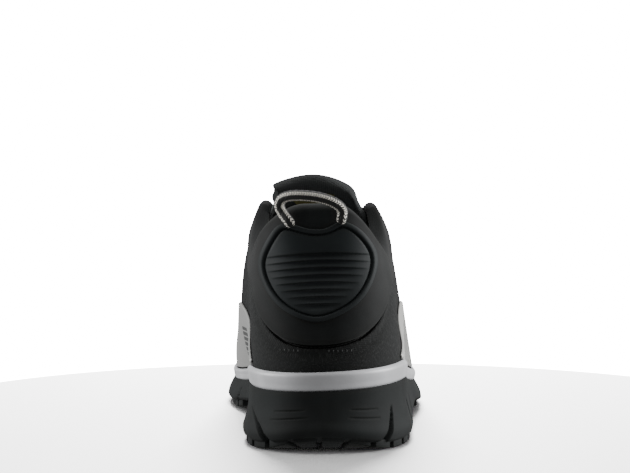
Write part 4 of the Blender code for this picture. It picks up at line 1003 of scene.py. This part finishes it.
PATCH_WIDTH = 0.0497
PATCH_HEIGHT = 0.0463
PATCH_MIDDLE = 0.0847
PATCH_SHIFT = -0.0046
PATCH_BACK = 0.0008
PLATE_INSET = 0.0029
PLATE_RISE = 0.0024
PLATE_EDGE = 0.0019
PLATE_BACK = 0.0005
PLATE_EASE = 0.0005
PATCH_OUTLINE = np.array([
    (-0.61, 0.95), (-0.36, 0.92), (-0.13, 0.85), (0.12, 0.86), (0.29, 0.95), (0.43, 1.00),
    (0.60, 0.93), (0.78, 0.74), (0.95, 0.44), (1.00, 0.12), (0.91, -0.27), (0.70, -0.63),
    (0.37, -0.88), (-0.03, -1.00), (-0.42, -0.88), (-0.71, -0.63), (-0.91, -0.28),
    (-1.00, 0.12), (-0.92, 0.46), (-0.79, 0.74),
])
# The plate's gills: how many, the first one's height, their pitch and depth, how far their ends
# rise and tilt, and how far the first reaches sideways and the last falls short of it
GILLS = 8
GILL_TOP = 0.0934
GILL_PITCH = 0.00333
GILL_DEPTH = 0.0017
GILL_BOW = 0.0024
GILL_TILT = 0.0009
GILL_REACH = 0.0225
GILL_LOSS = 0.0150

heel_ts = np.linspace(-3.4, 3.4, 137)
heel_points, _ = rib_curves(heel_ts)
heel_zs = np.linspace(0.030, 0.116, 345)
heel_xs, heel_ys = [
    np.array([np.interp(heel_zs, rib[:, 2], rib[:, axis]) for rib in heel_points]) for axis in (0, 1)
]
even_xs = np.linspace(-0.0345, 0.0305, 261)
heel_field = np.array([np.interp(even_xs, heel_xs[:, k], heel_ys[:, k]) for k in range(len(heel_zs))])


def heel_depth(x, z):
    """How far back the heel's bare skin lies, seen from behind at x and z."""
    column = np.clip((x - even_xs[0]) / (even_xs[1] - even_xs[0]), 0.0, len(even_xs) - 1.001)
    row = np.clip((z - heel_zs[0]) / (heel_zs[1] - heel_zs[0]), 0.0, len(heel_zs) - 1.001)
    i, j = np.floor(row).astype(int), np.floor(column).astype(int)
    a, b = row - i, column - j
    low = (1 - b) * heel_field[i, j] + b * heel_field[i, j + 1]
    high = (1 - b) * heel_field[i + 1, j] + b * heel_field[i + 1, j + 1]
    return (1 - a) * low + a * high


def on_heel(x, z, proud):
    """Points that stand proud of the collar panel, seen from behind at x and z."""
    x, z = np.broadcast_arrays(np.asarray(x, float), np.asarray(z, float))
    step = 0.0012
    across = (heel_depth(x + step, z) - heel_depth(x - step, z)) / (2 * step)
    upward = (heel_depth(x, z + step) - heel_depth(x, z - step)) / (2 * step)
    normal = np.stack([across, -np.ones_like(x), upward], axis=-1)
    normal /= np.linalg.norm(normal, axis=-1, keepdims=True)
    base = np.stack([x, heel_depth(x, z), z], axis=-1)
    return base + (LAYER + np.asarray(proud))[..., None] * normal


def patch_line(inset, count=360):
    """The patch's outline seen from behind, inset by a distance."""
    t = np.arange(count) * len(PATCH_OUTLINE) / count
    across = 0.5 * PATCH_WIDTH * round_loop(PATCH_OUTLINE[:, 0], t)
    up = 0.5 * PATCH_HEIGHT * round_loop(PATCH_OUTLINE[:, 1], t)
    line = np.stack([across, up], axis=1)
    ahead = np.roll(line, -1, axis=0) - np.roll(line, 1, axis=0)
    out = np.stack([-ahead[:, 1], ahead[:, 0]], axis=1)
    out /= np.linalg.norm(out, axis=1, keepdims=True)
    return line - inset * out + (PATCH_SHIFT, PATCH_MIDDLE)


# Patch plastic: satin black with an even fine grain, a touch greyer than the cloth round it
patch_plastic, tree, shader = finish_named(
    "satin_black_moulding", {"Specular IOR Level": 0.06, "Roughness": 0.55}
)
where = add_node(tree, "TexCoord").outputs["Object"]
grain = add_node(tree, "TexNoise", {"Vector": where, "Scale": 2200.0, "Detail": 2.0}).outputs["Fac"]
cloud = add_node(tree, "TexNoise", {"Vector": where, "Scale": 55.0, "Detail": 3.0}).outputs["Fac"]
tint(tree, shader, cloud, "1f2223", "282b2c", 0.35, 0.7)
emboss(tree, shader, grain, 0.00008, 0.5)

# The rim's profile, in mm: how far inside the outline, and how far proud of the panel
RIM_PROFILE = [
    (0.0, 0.15), (-0.05, 0.9), (-0.02, 1.8), (0.04, 2.7), (0.16, 3.35), (0.38, 3.72), (0.7, 3.86),
    (1.05, 3.9), (1.4, 3.9), (1.75, 3.86), (2.02, 3.72), (2.2, 3.45), (2.28, 3.05), (2.32, 2.6),
    (2.38, 2.2), (2.48, 2.0), (2.7, 1.95), (3.0, 1.95), (3.5, 1.9), (3.5, 0.15), (1.9, 0.15),
]
rim = []
for inset, up in RIM_PROFILE:
    line = patch_line(inset * MM)
    rim.append(on_heel(*line.T, np.full(len(line), up * MM)))
rim_mesh = laid_grid("heel_patch_rim", np.stack(rim, axis=1), join=(True, True))
piece("heel_patch_rim", rim_mesh, [patch_plastic], "heel_patch_plastic", "heel_patch")

# The plate fills the line inside the rim, which is split at its two sides into a top and a bottom
inner_line = patch_line(PLATE_INSET, 720)
leftmost, rightmost = np.argmin(inner_line[:, 0]), np.argmax(inner_line[:, 0])
ring_order = np.roll(inner_line, -leftmost, axis=0)
turn_at = (rightmost - leftmost) % len(inner_line)
upper_half = ring_order[: turn_at + 1]
lower_half = np.vstack([ring_order[turn_at:], ring_order[:1]])[::-1]
if upper_half[:, 1].mean() < lower_half[:, 1].mean():
    upper_half, lower_half = lower_half, upper_half
angle = np.linspace(0.0, math.pi, 181)
plate_wide = inner_line[rightmost, 0] - inner_line[leftmost, 0]
plate_x = inner_line[leftmost, 0] + plate_wide * 0.5 * (1 - np.cos(angle))
top_z = np.interp(plate_x, upper_half[:, 0], upper_half[:, 1])
low_z = np.interp(plate_x, lower_half[:, 0], lower_half[:, 1])

sideways = (plate_x - PATCH_SHIFT) / (0.5 * PATCH_WIDTH)
bow = GILL_BOW * sideways**2 - GILL_TILT * sideways
within = np.array([0.0, 0.05, 0.12, 0.2, 0.3, 0.45, 0.6, 0.75, 0.88, 0.96])
steps_down = np.concatenate([
    np.linspace(-4.5, -0.1, 16), (np.arange(GILLS)[:, None] + within).ravel(),
    np.linspace(GILLS, GILLS + 5, 16),
])
rungs = GILL_TOP - GILL_PITCH * steps_down[None, :] - bow[:, None]
edge_steps = np.array([0.0, 0.0001, 0.00025, 0.00045, 0.0007])
half_tall = 0.5 * (top_z - low_z)[:, None]
from_top = top_z[:, None] - np.minimum(edge_steps[None, :], half_tall)
from_low = low_z[:, None] + np.minimum(edge_steps[None, ::-1], half_tall)
plate_z = np.concatenate([from_top, np.clip(rungs, from_low[:, :1], from_top[:, -1:]), from_low], axis=1)
plate_xx = np.repeat(plate_x[:, None], plate_z.shape[1], axis=1)

down = (GILL_TOP - bow[:, None] - plate_z) / GILL_PITCH
part = down - np.floor(down)
cut = np.where(part < 0.2, part / 0.2, (1.0 - part) / 0.8)
reach = GILL_REACH - GILL_LOSS * np.clip(down / GILLS, 0.0, 1.0) ** 1.7
cut = cut * np.clip(1.0 - ((plate_xx - PATCH_SHIFT) / reach) ** 2, 0.0, 1.0) ** 1.2
cut = np.where((down < 0.0) | (down > GILLS), 0.0, cut)
spots = np.stack([plate_xx, plate_z], axis=-1).reshape(-1, 1, 2)
to_edge = np.linalg.norm(spots - inner_line[None, ::3], axis=2).min(axis=1).reshape(plate_z.shape)
ease = np.sqrt(np.clip(to_edge / PLATE_EASE, 0.0, 1.0))
face_proud = PLATE_EDGE + (PATCH_BACK + PLATE_RISE - PLATE_EDGE - GILL_DEPTH * cut) * ease
plate = np.concatenate([
    on_heel(plate_xx, plate_z, face_proud),
    on_heel(plate_xx, plate_z, np.full(plate_z.shape, PLATE_BACK))[:, ::-1],
], axis=1)
plate_mesh = laid_grid("heel_patch_plate", plate, join=(False, True))
piece("heel_patch_plate", plate_mesh, [patch_plastic], "heel_patch_plastic", "heel_patch")

# Tongue: padded black textile over foam, sewn in under the end of the throat and standing up past
# its top as a soft dome. A small plain olive label is sewn to its inner side.

TONGUE_THICKNESS = 0.0055
TONGUE_CROWN = 0.13
TONGUE_SKEW = 0.45
TONGUE_LEAN = 0.20
TONGUE_FLARE = (0.36, 0.08)
TONGUE_DROOP = 0.22
TONGUE_TUCK = 6.0
TONGUE_TURN = np.array([0.0, 0.05, 0.15])
TONGUE_GAP = 0.0009
# The tongue's cross sections under the throat, the finer steps between them and round each, and
# the rings and spots that the label covers
TONGUE_SEATS = (10.3, 9.6, 8.8, 8.0, 7.2, 6.5, 6.0)
STEPS_ON = 9
STEPS_ROUND = 7
LABEL_RINGS = (52, 86)
LABEL_SPOTS = (96, 109)
LABEL_LIFT = 0.0005
# Rings of the top: how far on, its width and crown as shares of the throat's, and its padding
TONGUE_TOP = [
    (0.0022, 1.04, 1.10, 1.20), (0.0050, 1.16, 1.28, 1.35), (0.0085, 1.28, 1.42, 1.40),
    (0.0118, 1.29, 1.48, 1.30), (0.0142, 1.24, 1.44, 0.95), (0.0153, 1.16, 1.34, 0.40),
]


def tongue_section(t):
    """The tongue's face under the throat's edges at t on the outer side and 22 - t on the inner,
    and the direction out of it."""
    shares = np.array([0.90, 0.95, 1.0])
    outer, inner = [
        on_upper([side_t], shares, -thickness_at([side_t], shares) - TONGUE_GAP)[0]
        for side_t in (t, ROUND - t)
    ]
    across = outer[2] - inner[2]
    width = np.linalg.norm(across)
    edge = skin([t - 0.3, t + 0.3], np.array([1.0]))[:, 0]
    upward = np.cross(across, edge[0] - edge[1])
    upward *= math.copysign(1.0, upward[2]) / np.linalg.norm(upward)
    points = list(inner)
    for share in (0.2, 0.4, 0.6, 0.8):
        crown = TONGUE_CROWN * width * math.sin(math.pi * share) ** 0.6
        points.append(inner[2] + share * across + crown * upward)
    return np.array(points + list(outer[::-1])), upward


def with_thickness(points, upward, thickness):
    """A closed section from a row of points, thin at its two edges."""
    share = np.sin(np.pi * np.linspace(0.0, 1.0, len(points)))
    depth = thickness * (0.30 + 0.70 * np.clip(share, 0.0, 1.0) ** 0.6)
    return np.concatenate([points, (points - depth[:, None] * upward)[::-1]])


def eased(points, per_span, around=False):
    """Points on a smooth curve through rows of points, along the first axis."""
    points = np.asarray(points, float)
    if around:
        padded = np.concatenate([points[-1:], points, points[:2]])
    else:
        padded = np.concatenate([
            2 * points[:1] - points[1:2], points, 2 * points[-1:] - points[-2:-1],
        ])
    line = []
    for a, b, c, d in zip(padded, padded[1:], padded[2:], padded[3:]):
        for k in range(per_span):
            s = k / per_span
            bend, twist = 2 * a - 5 * b + 4 * c - d, 3 * b - a - 3 * c + d
            line.append(0.5 * (2 * b + (c - a) * s + bend * s**2 + twist * s**3))
    if not around:
        line.append(points[-1])
    return np.array(line)


sections = []
for t in TONGUE_SEATS:
    points, upward = tongue_section(t)
    padding = TONGUE_THICKNESS * (0.45 + 0.55 * float(smooth_step(10.3, 7.5, t)))
    sections.append(with_thickness(points, upward, padding))
throat_middle = 0.5 * (points[2] + points[-3])
across = points[-3] - points[2]
half = 0.5 * np.linalg.norm(across)
across /= 2.0 * half
edge = skin([6.0, 16.0, 7.0, 15.0], np.array([1.0]))[:, 0]
climb = 0.5 * (edge[0] + edge[1]) - 0.5 * (edge[2] + edge[3])
climb = climb / np.linalg.norm(climb) + TONGUE_TURN
climb /= np.linalg.norm(climb)
for on, width, crown, padding in TONGUE_TOP:
    x, y = (points - throat_middle) @ across, (points - throat_middle) @ upward
    above = np.clip(y / 0.003, 0.0, 1.0)
    flare = np.where(x < 0, TONGUE_FLARE[0], TONGUE_FLARE[1]) * math.sqrt(on / TONGUE_TOP[-1][0])
    x = x * (1.0 + (width - 1.0 + flare) * above - TONGUE_TUCK * on * (1.0 - above))
    x -= TONGUE_SKEW * np.maximum(y, 0.0) * on / TONGUE_TOP[-1][0]
    y = y * (1.0 - TONGUE_DROOP * np.clip(-x / half, 0.0, 1.0) * above)
    y = np.where(y > 0, crown * y, y) - 0.5 * TONGUE_THICKNESS * max(1.3 - padding, 0.0)
    reach = on * (1.0 - 0.45 * (x / half + TONGUE_LEAN) ** 2)
    ring = throat_middle + x[:, None] * across + y[:, None] * upward + reach[:, None] * climb
    sections.append(with_thickness(ring, upward, TONGUE_THICKNESS * padding))
smooth_rings = eased(np.array(sections), STEPS_ON)
tongue_rings = np.array([eased(ring, STEPS_ROUND, around=True) for ring in smooth_rings])
# Each end is closed flat: its ring is drawn together with its own upper and lower faces swapped
end_rings = [
    0.5 * (ring + np.roll(ring[::-1], 1 - STEPS_ROUND, axis=0)) for ring in tongue_rings[[0, -1]]
]
tongue_points = np.concatenate([end_rings[:1], tongue_rings, end_rings[1:]])
tongue_mesh = laid_grid("tongue_padding", tongue_points, join=(False, True))

# Tongue cloth: fine black knitted textile with a soft nap over the foam
tongue_cloth, tree, shader = finish_named(
    "fine_black_textile", {"Roughness": 0.9, "Specular IOR Level": 0.15, "Sheen Weight": 0.03}
)
threads = woven(tree, laid_uv(tree), 0.0007, 0.0007, 0.2)
tint(tree, shader, threads, "343636", "474949")
emboss(tree, shader, threads, 0.00022, 0.5)
tongue_piece = piece("tongue_padding", tongue_mesh, [tongue_cloth], "tongue_cloth", "tongue")

# Label ribbon: plain dull olive satin, woven fine and left blank
label_ribbon, tree, shader = finish_named(
    "olive_label_ribbon", {"Roughness": 0.6, "Specular IOR Level": 0.3}
)
ribs = woven(tree, laid_uv(tree), 0.0005, 0.0005)
tint(tree, shader, ribs, "5a5730", "77744a")
emboss(tree, shader, ribs, 0.0001, 0.4)
seat = tongue_rings[LABEL_RINGS[0] : LABEL_RINGS[1], LABEL_SPOTS[0] : LABEL_SPOTS[1]]
facing = np.cross(np.gradient(seat, axis=0), np.gradient(seat, axis=1))
facing *= np.sign(-facing[..., 1:2]) / np.linalg.norm(facing, axis=-1, keepdims=True)
label_mesh = laid_grid("tongue_label", seat + LABEL_LIFT * facing)
label = piece("tongue_label", label_mesh, [label_ribbon], "tongue_cloth")

# Eyelets: ten small moulded black rings, pressed into the eyestay in two rows of five.

EYELET_RADIUS = 0.0044
EYELET_HOLE = 0.0024
EYELET_HEIGHT = 0.0009
EYELET_PAIRS = 5
EYELET_SHARE = 0.925

# Eyelet plastic: moulded, black and fairly glossy
eyelet_plastic, tree, shader = finish_named(
    "glossy_black_plastic", {"Specular IOR Level": 0.5, "Roughness": 0.32}
)
shader.inputs["Base Color"].default_value = linear("1b1c1c")

fine_t = np.linspace(6.55, 9.45, 59)
eyelet_line = on_upper(fine_t, np.array([0.93]), 0.0)[:, 0]
eyelet_run = run_along(eyelet_line)
eyelet_ts = np.interp(np.linspace(0.0, eyelet_run[-1], EYELET_PAIRS), eyelet_run, fine_t)


def eyelet_frame(t):
    """The middle of the eyelet at t, and its directions across the eyestay, along it and out."""
    share = np.array([EYELET_SHARE])
    middle = on_upper([t], share, LAYER + 2.5 * GAP)[0, 0]
    normal = skin_normal([t], share)[0, 0]
    ends = skin([t], np.array([0.99, 0.86]))[0]
    across = ends[0] - ends[1]
    across -= np.dot(across, normal) * normal
    across /= np.linalg.norm(across)
    return middle, across, np.cross(normal, across), normal


rings = bmesh.new()
ring_profile = [
    (EYELET_HOLE + 0.0002, -0.0016), (EYELET_HOLE, -0.0004), (EYELET_HOLE + 0.0001, 0.00045),
    (EYELET_HOLE + 0.0004, 0.8 * EYELET_HEIGHT), (0.0034, EYELET_HEIGHT),
    (EYELET_RADIUS - 0.0004, 0.7 * EYELET_HEIGHT),
    (EYELET_RADIUS, 0.0001), (EYELET_RADIUS, -0.0010),
]
eyelet_names = []
for side, label in ((0, "outer"), (1, "inner")):
    for number, t in enumerate(eyelet_ts):
        middle, across, beside, normal = eyelet_frame(ROUND - t if side else t)
        corners = [rings.verts.new((r, 0.0, z)) for r, z in ring_profile]
        edges = [rings.edges.new(pair) for pair in zip(corners, corners[1:] + corners[:1])]
        bmesh.ops.spin(
            rings, geom=corners + edges, cent=(0, 0, 0), axis=(0, 0, 1), angle=2 * math.pi, steps=40,
            use_merge=True,
        )
        turned = {v for v in rings.verts if not v.tag}
        matrix = Matrix((*np.column_stack([across, beside, normal, middle]).tolist(), (0, 0, 0, 1)))
        bmesh.ops.transform(rings, matrix=matrix, verts=list(turned))
        for corner in turned:
            corner.tag = True
        eyelet_names.append(f"eyelet_{label}_{number + 1}")
bmesh.ops.recalc_face_normals(rings, faces=rings.faces)
ring_mesh = bpy.data.meshes.new("eyelet_rings")
rings.to_mesh(ring_mesh)
rings.free()
piece("eyelet_rings", ring_mesh, [eyelet_plastic], "eyelet_plastic", *eyelet_names)

# Laces: round braided black polyester, 4 mm thick. A bar lies across the lowest eyelets, then
# both laces cross over the tongue, come over the eyestay and dive into the next eyelets up.

LACE_RADIUS = 0.0021
# How far the upper lace of a crossing lies over the lower, and how far its start is tucked in
LACE_OVER = 0.0030
LACE_TUCK = 0.00264


def cord_grid(name, line, radius, sides, ridge, pitch):
    """A round braided cord along a line of points, its ends rounded off and closed."""
    line = np.asarray(line, float)
    ahead = np.gradient(line, axis=0)
    ahead /= np.linalg.norm(ahead, axis=1, keepdims=True)
    side = np.cross(ahead[0], (0.0, 0.0, 1.0) if abs(ahead[0][2]) < 0.9 else (1.0, 0.0, 0.0))
    sides_on = []
    for way in ahead:
        side = side - np.dot(side, way) * way
        side /= np.linalg.norm(side)
        sides_on.append(side)
    sides_on = np.array(sides_on)
    other = np.cross(ahead, sides_on)
    run = run_along(line)
    a = np.linspace(0.0, 2 * math.pi, sides, endpoint=False)[None, :]
    along = 2 * math.pi * run[:, None] / pitch
    braid = np.abs(np.sin(4 * a + along) * np.sin(4 * a - along)) ** 0.5
    to_end = np.minimum(run, run[-1] - run)[:, None]
    cap = np.sqrt(np.clip(1.0 - (1.0 - np.clip(to_end / radius, 0.0, 1.0)) ** 2, 0.0, 1.0))
    size = (radius - ridge * (1.0 - braid)) * cap
    around = np.cos(a)[..., None] * sides_on[:, None] + np.sin(a)[..., None] * other[:, None]
    return laid_grid(name, line[:, None] + size[..., None] * around, join=(False, True))


def even_line(stops, spacing):
    """Even steps along a smooth curve through stops."""
    line = eased(np.array(stops), 24)
    run = run_along(line)
    places = np.linspace(0.0, run[-1], int(run[-1] / spacing) + 1)
    return points_at(places, run, line)


def above_wall(t, share, rise):
    return on_upper([t], np.array([share]), LAYER + rise)[0, 0]


def over_tongue(t, rise):
    points, upward = tongue_section(t)
    return 0.5 * (points[4] + points[5]) + rise * upward


def into_eyelet(t):
    """Points from over the eyelet at t down into its hole."""
    middle, across, _, normal = eyelet_frame(t)
    over = middle + 0.0030 * across + (EYELET_HEIGHT + 0.0021) * normal
    lip = middle + 0.0004 * across + 0.0016 * normal
    hole = middle - 0.0002 * across - 0.0014 * normal
    return [over, lip, hole, middle - 0.0004 * across - 0.0048 * normal]


# Braided cord: black polyester yarns that cross, with a soft sheen on each
lace_cloth, tree, shader = finish_named(
    "braided_black_polyester", {"Roughness": 0.75, "Specular IOR Level": 0.3, "Sheen Weight": 0.15}
)
plaits = woven(tree, laid_uv(tree), 0.0010, 0.0010, math.pi / 4)
tint(tree, shader, plaits, "121313", "262727")
emboss(tree, shader, plaits, 0.0002, 0.5)

edge_rise = LACE_RADIUS + 3 * GAP
runs = []
for k in range(EYELET_PAIRS - 1, 0, -1):
    low_t, high_t = eyelet_ts[k], eyelet_ts[k - 1]
    start = low_t - 0.12 * (low_t - high_t)
    crack = over_tongue(start, 0.0)
    goal = 0.85 * high_t + 0.15 * low_t
    for flip, turned in enumerate((lambda t: t, lambda t: ROUND - t)):
        other_side = ROUND - turned(goal), ROUND - turned(high_t)
        edge = above_wall(turned(start), 1.0, -0.0022)
        rise = edge_rise + (LACE_OVER if (k + flip) % 2 else 0.0)
        stops = [edge - LACE_TUCK * tongue_section(low_t)[1], edge + 0.12 * (crack - edge)]
        stops.append(over_tongue(0.5 * (low_t + high_t), rise))
        stops.append(above_wall(other_side[0], 1.0, edge_rise))
        stops += into_eyelet(other_side[1])
        runs.append(stops)
last = eyelet_ts[-1]
bar = into_eyelet(last)[::-1] + [above_wall(last, 1.0, edge_rise), over_tongue(last, edge_rise)]
bar += [above_wall(ROUND - last, 1.0, edge_rise)] + into_eyelet(ROUND - last)
runs.append(bar)
for number, stops in enumerate(runs):
    mesh = cord_grid(f"lace_run_{number}", even_line(stops, 0.0004), LACE_RADIUS, 24, 0.00022, 0.0050)
    piece(f"lace_run_{number}", mesh, [lace_cloth], "cord", "laces")

# Pull loop: a round braided cord, 5.2 mm thick, black with four off-white tracers of short ticks.
# It stands up behind the collar, with both ends tucked in behind the heel patch's horns.

CORD_RADIUS = 0.0026
LOOP_TRACERS = 4
TICK_PITCH = 0.0011
# The loop's line from end to end: x, height, and how far it stands off the collar panel
LOOP_LINE = [
    (-0.0166, 0.1060, 0.0022), (-0.0184, 0.1086, 0.0042), (-0.0210, 0.1120, 0.0042),
    (-0.0226, 0.1154, 0.0046),
    (-0.0214, 0.1189, 0.0052), (-0.0172, 0.1204, 0.0056), (-0.0116, 0.1205, 0.0058),
    (-0.0050, 0.1198, 0.0058), (0.0010, 0.1181, 0.0056), (0.0052, 0.1157, 0.0050),
    (0.0068, 0.1130, 0.0042), (0.0066, 0.1102, 0.0042), (0.0060, 0.1074, 0.0022),
]
# Above this height the loop stands upright, clear of the collar's rolled edge
LOOP_TOP = COLLAR_HEIGHT - 0.004

stops = []
for x, z, off in LOOP_LINE:
    seat, level = x, min(z, LOOP_TOP)
    for _ in range(6):
        base = on_heel(seat, level, off)
        seat += x - base[0]
        level += min(z, LOOP_TOP) - base[2]
    stops.append(base + np.array([0.0, 0.0, max(z - LOOP_TOP, 0.0)]))
loop_line = even_line(stops, 0.00035)
loop_mesh = cord_grid("pull_loop_cord", loop_line, CORD_RADIUS, 40, 0.00030, 0.0052)

# Tracer braid: black yarns, with a row of off-white ticks down each quarter of the cord
tracer_cord, tree, shader = finish_named(
    "tracer_braid_polyester", {"Roughness": 0.7, "Specular IOR Level": 0.35, "Sheen Weight": 0.1}
)
spot = laid_uv(tree)
split = add_node(tree, "SeparateXYZ", {"Vector": spot})
between = 2 * math.pi * CORD_RADIUS / LOOP_TRACERS
quarter = add_node(tree, "Math", {0: split.outputs["Y"], 1: between}, operation="DIVIDE")
eighth_on = add_node(tree, "Math", {0: quarter.outputs[0], 1: 0.5}, operation="ADD")
turn = add_node(tree, "Math", {0: eighth_on.outputs[0]}, operation="FRACT")
off = add_node(tree, "Math", {0: turn.outputs[0], 1: 0.5}, operation="SUBTRACT")
gap = add_node(tree, "Math", {0: off.outputs[0]}, operation="ABSOLUTE")
band = add_node(tree, "MapRange", {"Value": gap.outputs[0], "From Min": 0.235, "From Max": 0.185})
along = add_node(tree, "Math", {0: split.outputs["X"], 1: TICK_PITCH}, operation="DIVIDE")
slanted = {0: gap.outputs[0], 1: 2.6, 2: along.outputs[0]}
slant = add_node(tree, "Math", slanted, operation="MULTIPLY_ADD")
tick = add_node(tree, "Math", {0: slant.outputs[0], 1: 0.5}, operation="PINGPONG")
shown = add_node(tree, "MapRange", {"Value": tick.outputs[0], "From Min": 0.2, "From Max": 0.32})
yarn = add_node(tree, "Math", {0: band.outputs[0], 1: shown.outputs[0]}, operation="MULTIPLY")
tint(tree, shader, yarn.outputs[0], "0c0d0d", "e4e0d6")
plaits = woven(tree, spot, 0.0011, 0.0011, math.pi / 4)
emboss(tree, shader, plaits, 0.0002, 0.5)
piece("pull_loop_cord", loop_mesh, [tracer_cord], "cord", "pull_loop")

# Floor, lights and camera: the shoe stands on a plain pale round floor, between two large soft
# lights at its sides and one over it. The camera stands behind the heel, a little above it.

# The floor is a disc about its own middle, drawn out towards the camera
FLOOR_RADIUS = 0.248
FLOOR_STRETCH = 1.6
FLOOR_MIDDLE = (0.009, 0.126)
FLOOR_LEVEL = -0.0002

floor_bm = bmesh.new()
bmesh.ops.create_circle(floor_bm, cap_ends=True, segments=256, radius=FLOOR_RADIUS)
for corner in floor_bm.verts:
    y = corner.co.y * (1.0 if corner.co.y > 0 else FLOOR_STRETCH)
    corner.co = (corner.co.x + FLOOR_MIDDLE[0], y + FLOOR_MIDDLE[1], FLOOR_LEVEL)
bmesh.ops.recalc_face_normals(floor_bm, faces=floor_bm.faces)
floor_mesh = bpy.data.meshes.new("floor")
floor_bm.to_mesh(floor_mesh)
floor_bm.free()
floor = bpy.data.objects.new("floor", floor_mesh)
bpy.context.scene.collection.objects.link(floor)
# Painted board: plain, pale and matt
board, tree, shader = finish_named("painted_white_board", {"Roughness": 0.6, "Specular IOR Level": 0.3})
shader.inputs["Base Color"].default_value = linear("f2f2f2")
floor_mesh.materials.append(board)

scene = bpy.context.scene
world = bpy.data.worlds.new("white_room")
scene.world = world
world.use_nodes = True
tree = world.node_tree
tree.nodes.clear()
seen = add_node(tree, "Background", {"Color": (1.0, 1.0, 1.0, 1.0), "Strength": 24.0})
lit = add_node(tree, "Background", {"Color": (1.0, 1.0, 1.0, 1.0), "Strength": 0.46})
ray = add_node(tree, "LightPath").outputs["Is Camera Ray"]
mix = add_node(tree, "MixShader", {0: ray, 1: lit.outputs[0], 2: seen.outputs[0]})
add_node(tree, "OutputWorld", {"Surface": mix.outputs[0]})


def soft_light(name, place, aim, width, height, power):
    """An area light at a place that faces aim."""
    lamp = bpy.data.lights.new(name, "AREA")
    lamp.shape = "RECTANGLE"
    lamp.size, lamp.size_y, lamp.energy = width, height, power
    made = bpy.data.objects.new(name, lamp)
    made.location = place
    made.rotation_euler = (Vector(aim) - Vector(place)).to_track_quat("-Z", "Y").to_euler()
    scene.collection.objects.link(made)
    return made


# The floor has a bright light of its own, and throws none of it back on the shoe
floor.visible_diffuse = False
floor.visible_glossy = False
table_top = bpy.data.collections.new("table_top")
table_top.objects.link(floor)
# The two side lights are flagged off the floor, so that the shadow under the shoe stays deep
off_table = bpy.data.collections.new("off_table")
off_table.objects.link(floor)
off_table.collection_objects[0].light_linking.link_state = "EXCLUDE"
for name, place, aim, width, height, power, lights_only in (
    ("floor_softbox", (0.0, 0.95, 0.92), (0.0, 0.05, 0.0), 0.6, 0.6, 102.0, table_top),
    ("left_softbox", (-0.90, 0.14, 0.35), (0.0, 0.0, 0.06), 0.5, 0.6, 13.0, off_table),
    ("right_softbox", (0.90, 0.14, 0.35), (0.0, 0.0, 0.06), 0.5, 0.6, 19.0, off_table),
    ("top_softbox", (0.0, 0.20, 1.00), (0.0, 0.08, 0.0), 0.9, 0.9, 8.0, None),
):
    lamp = soft_light(name, place, aim, width, height, power)
    if lights_only:
        lamp.light_linking.receiver_collection = lights_only

lens = bpy.data.cameras.new("camera")
lens.lens = 108.2
lens.sensor_width = 36.0
lens.clip_start = 0.05
eye = bpy.data.objects.new("camera", lens)
eye.location = (-0.006, -0.925, 0.1327)
eye.rotation_euler = (math.radians(90.0 - 2.03), 0.0, 0.0)
scene.collection.objects.link(eye)
scene.camera = eye
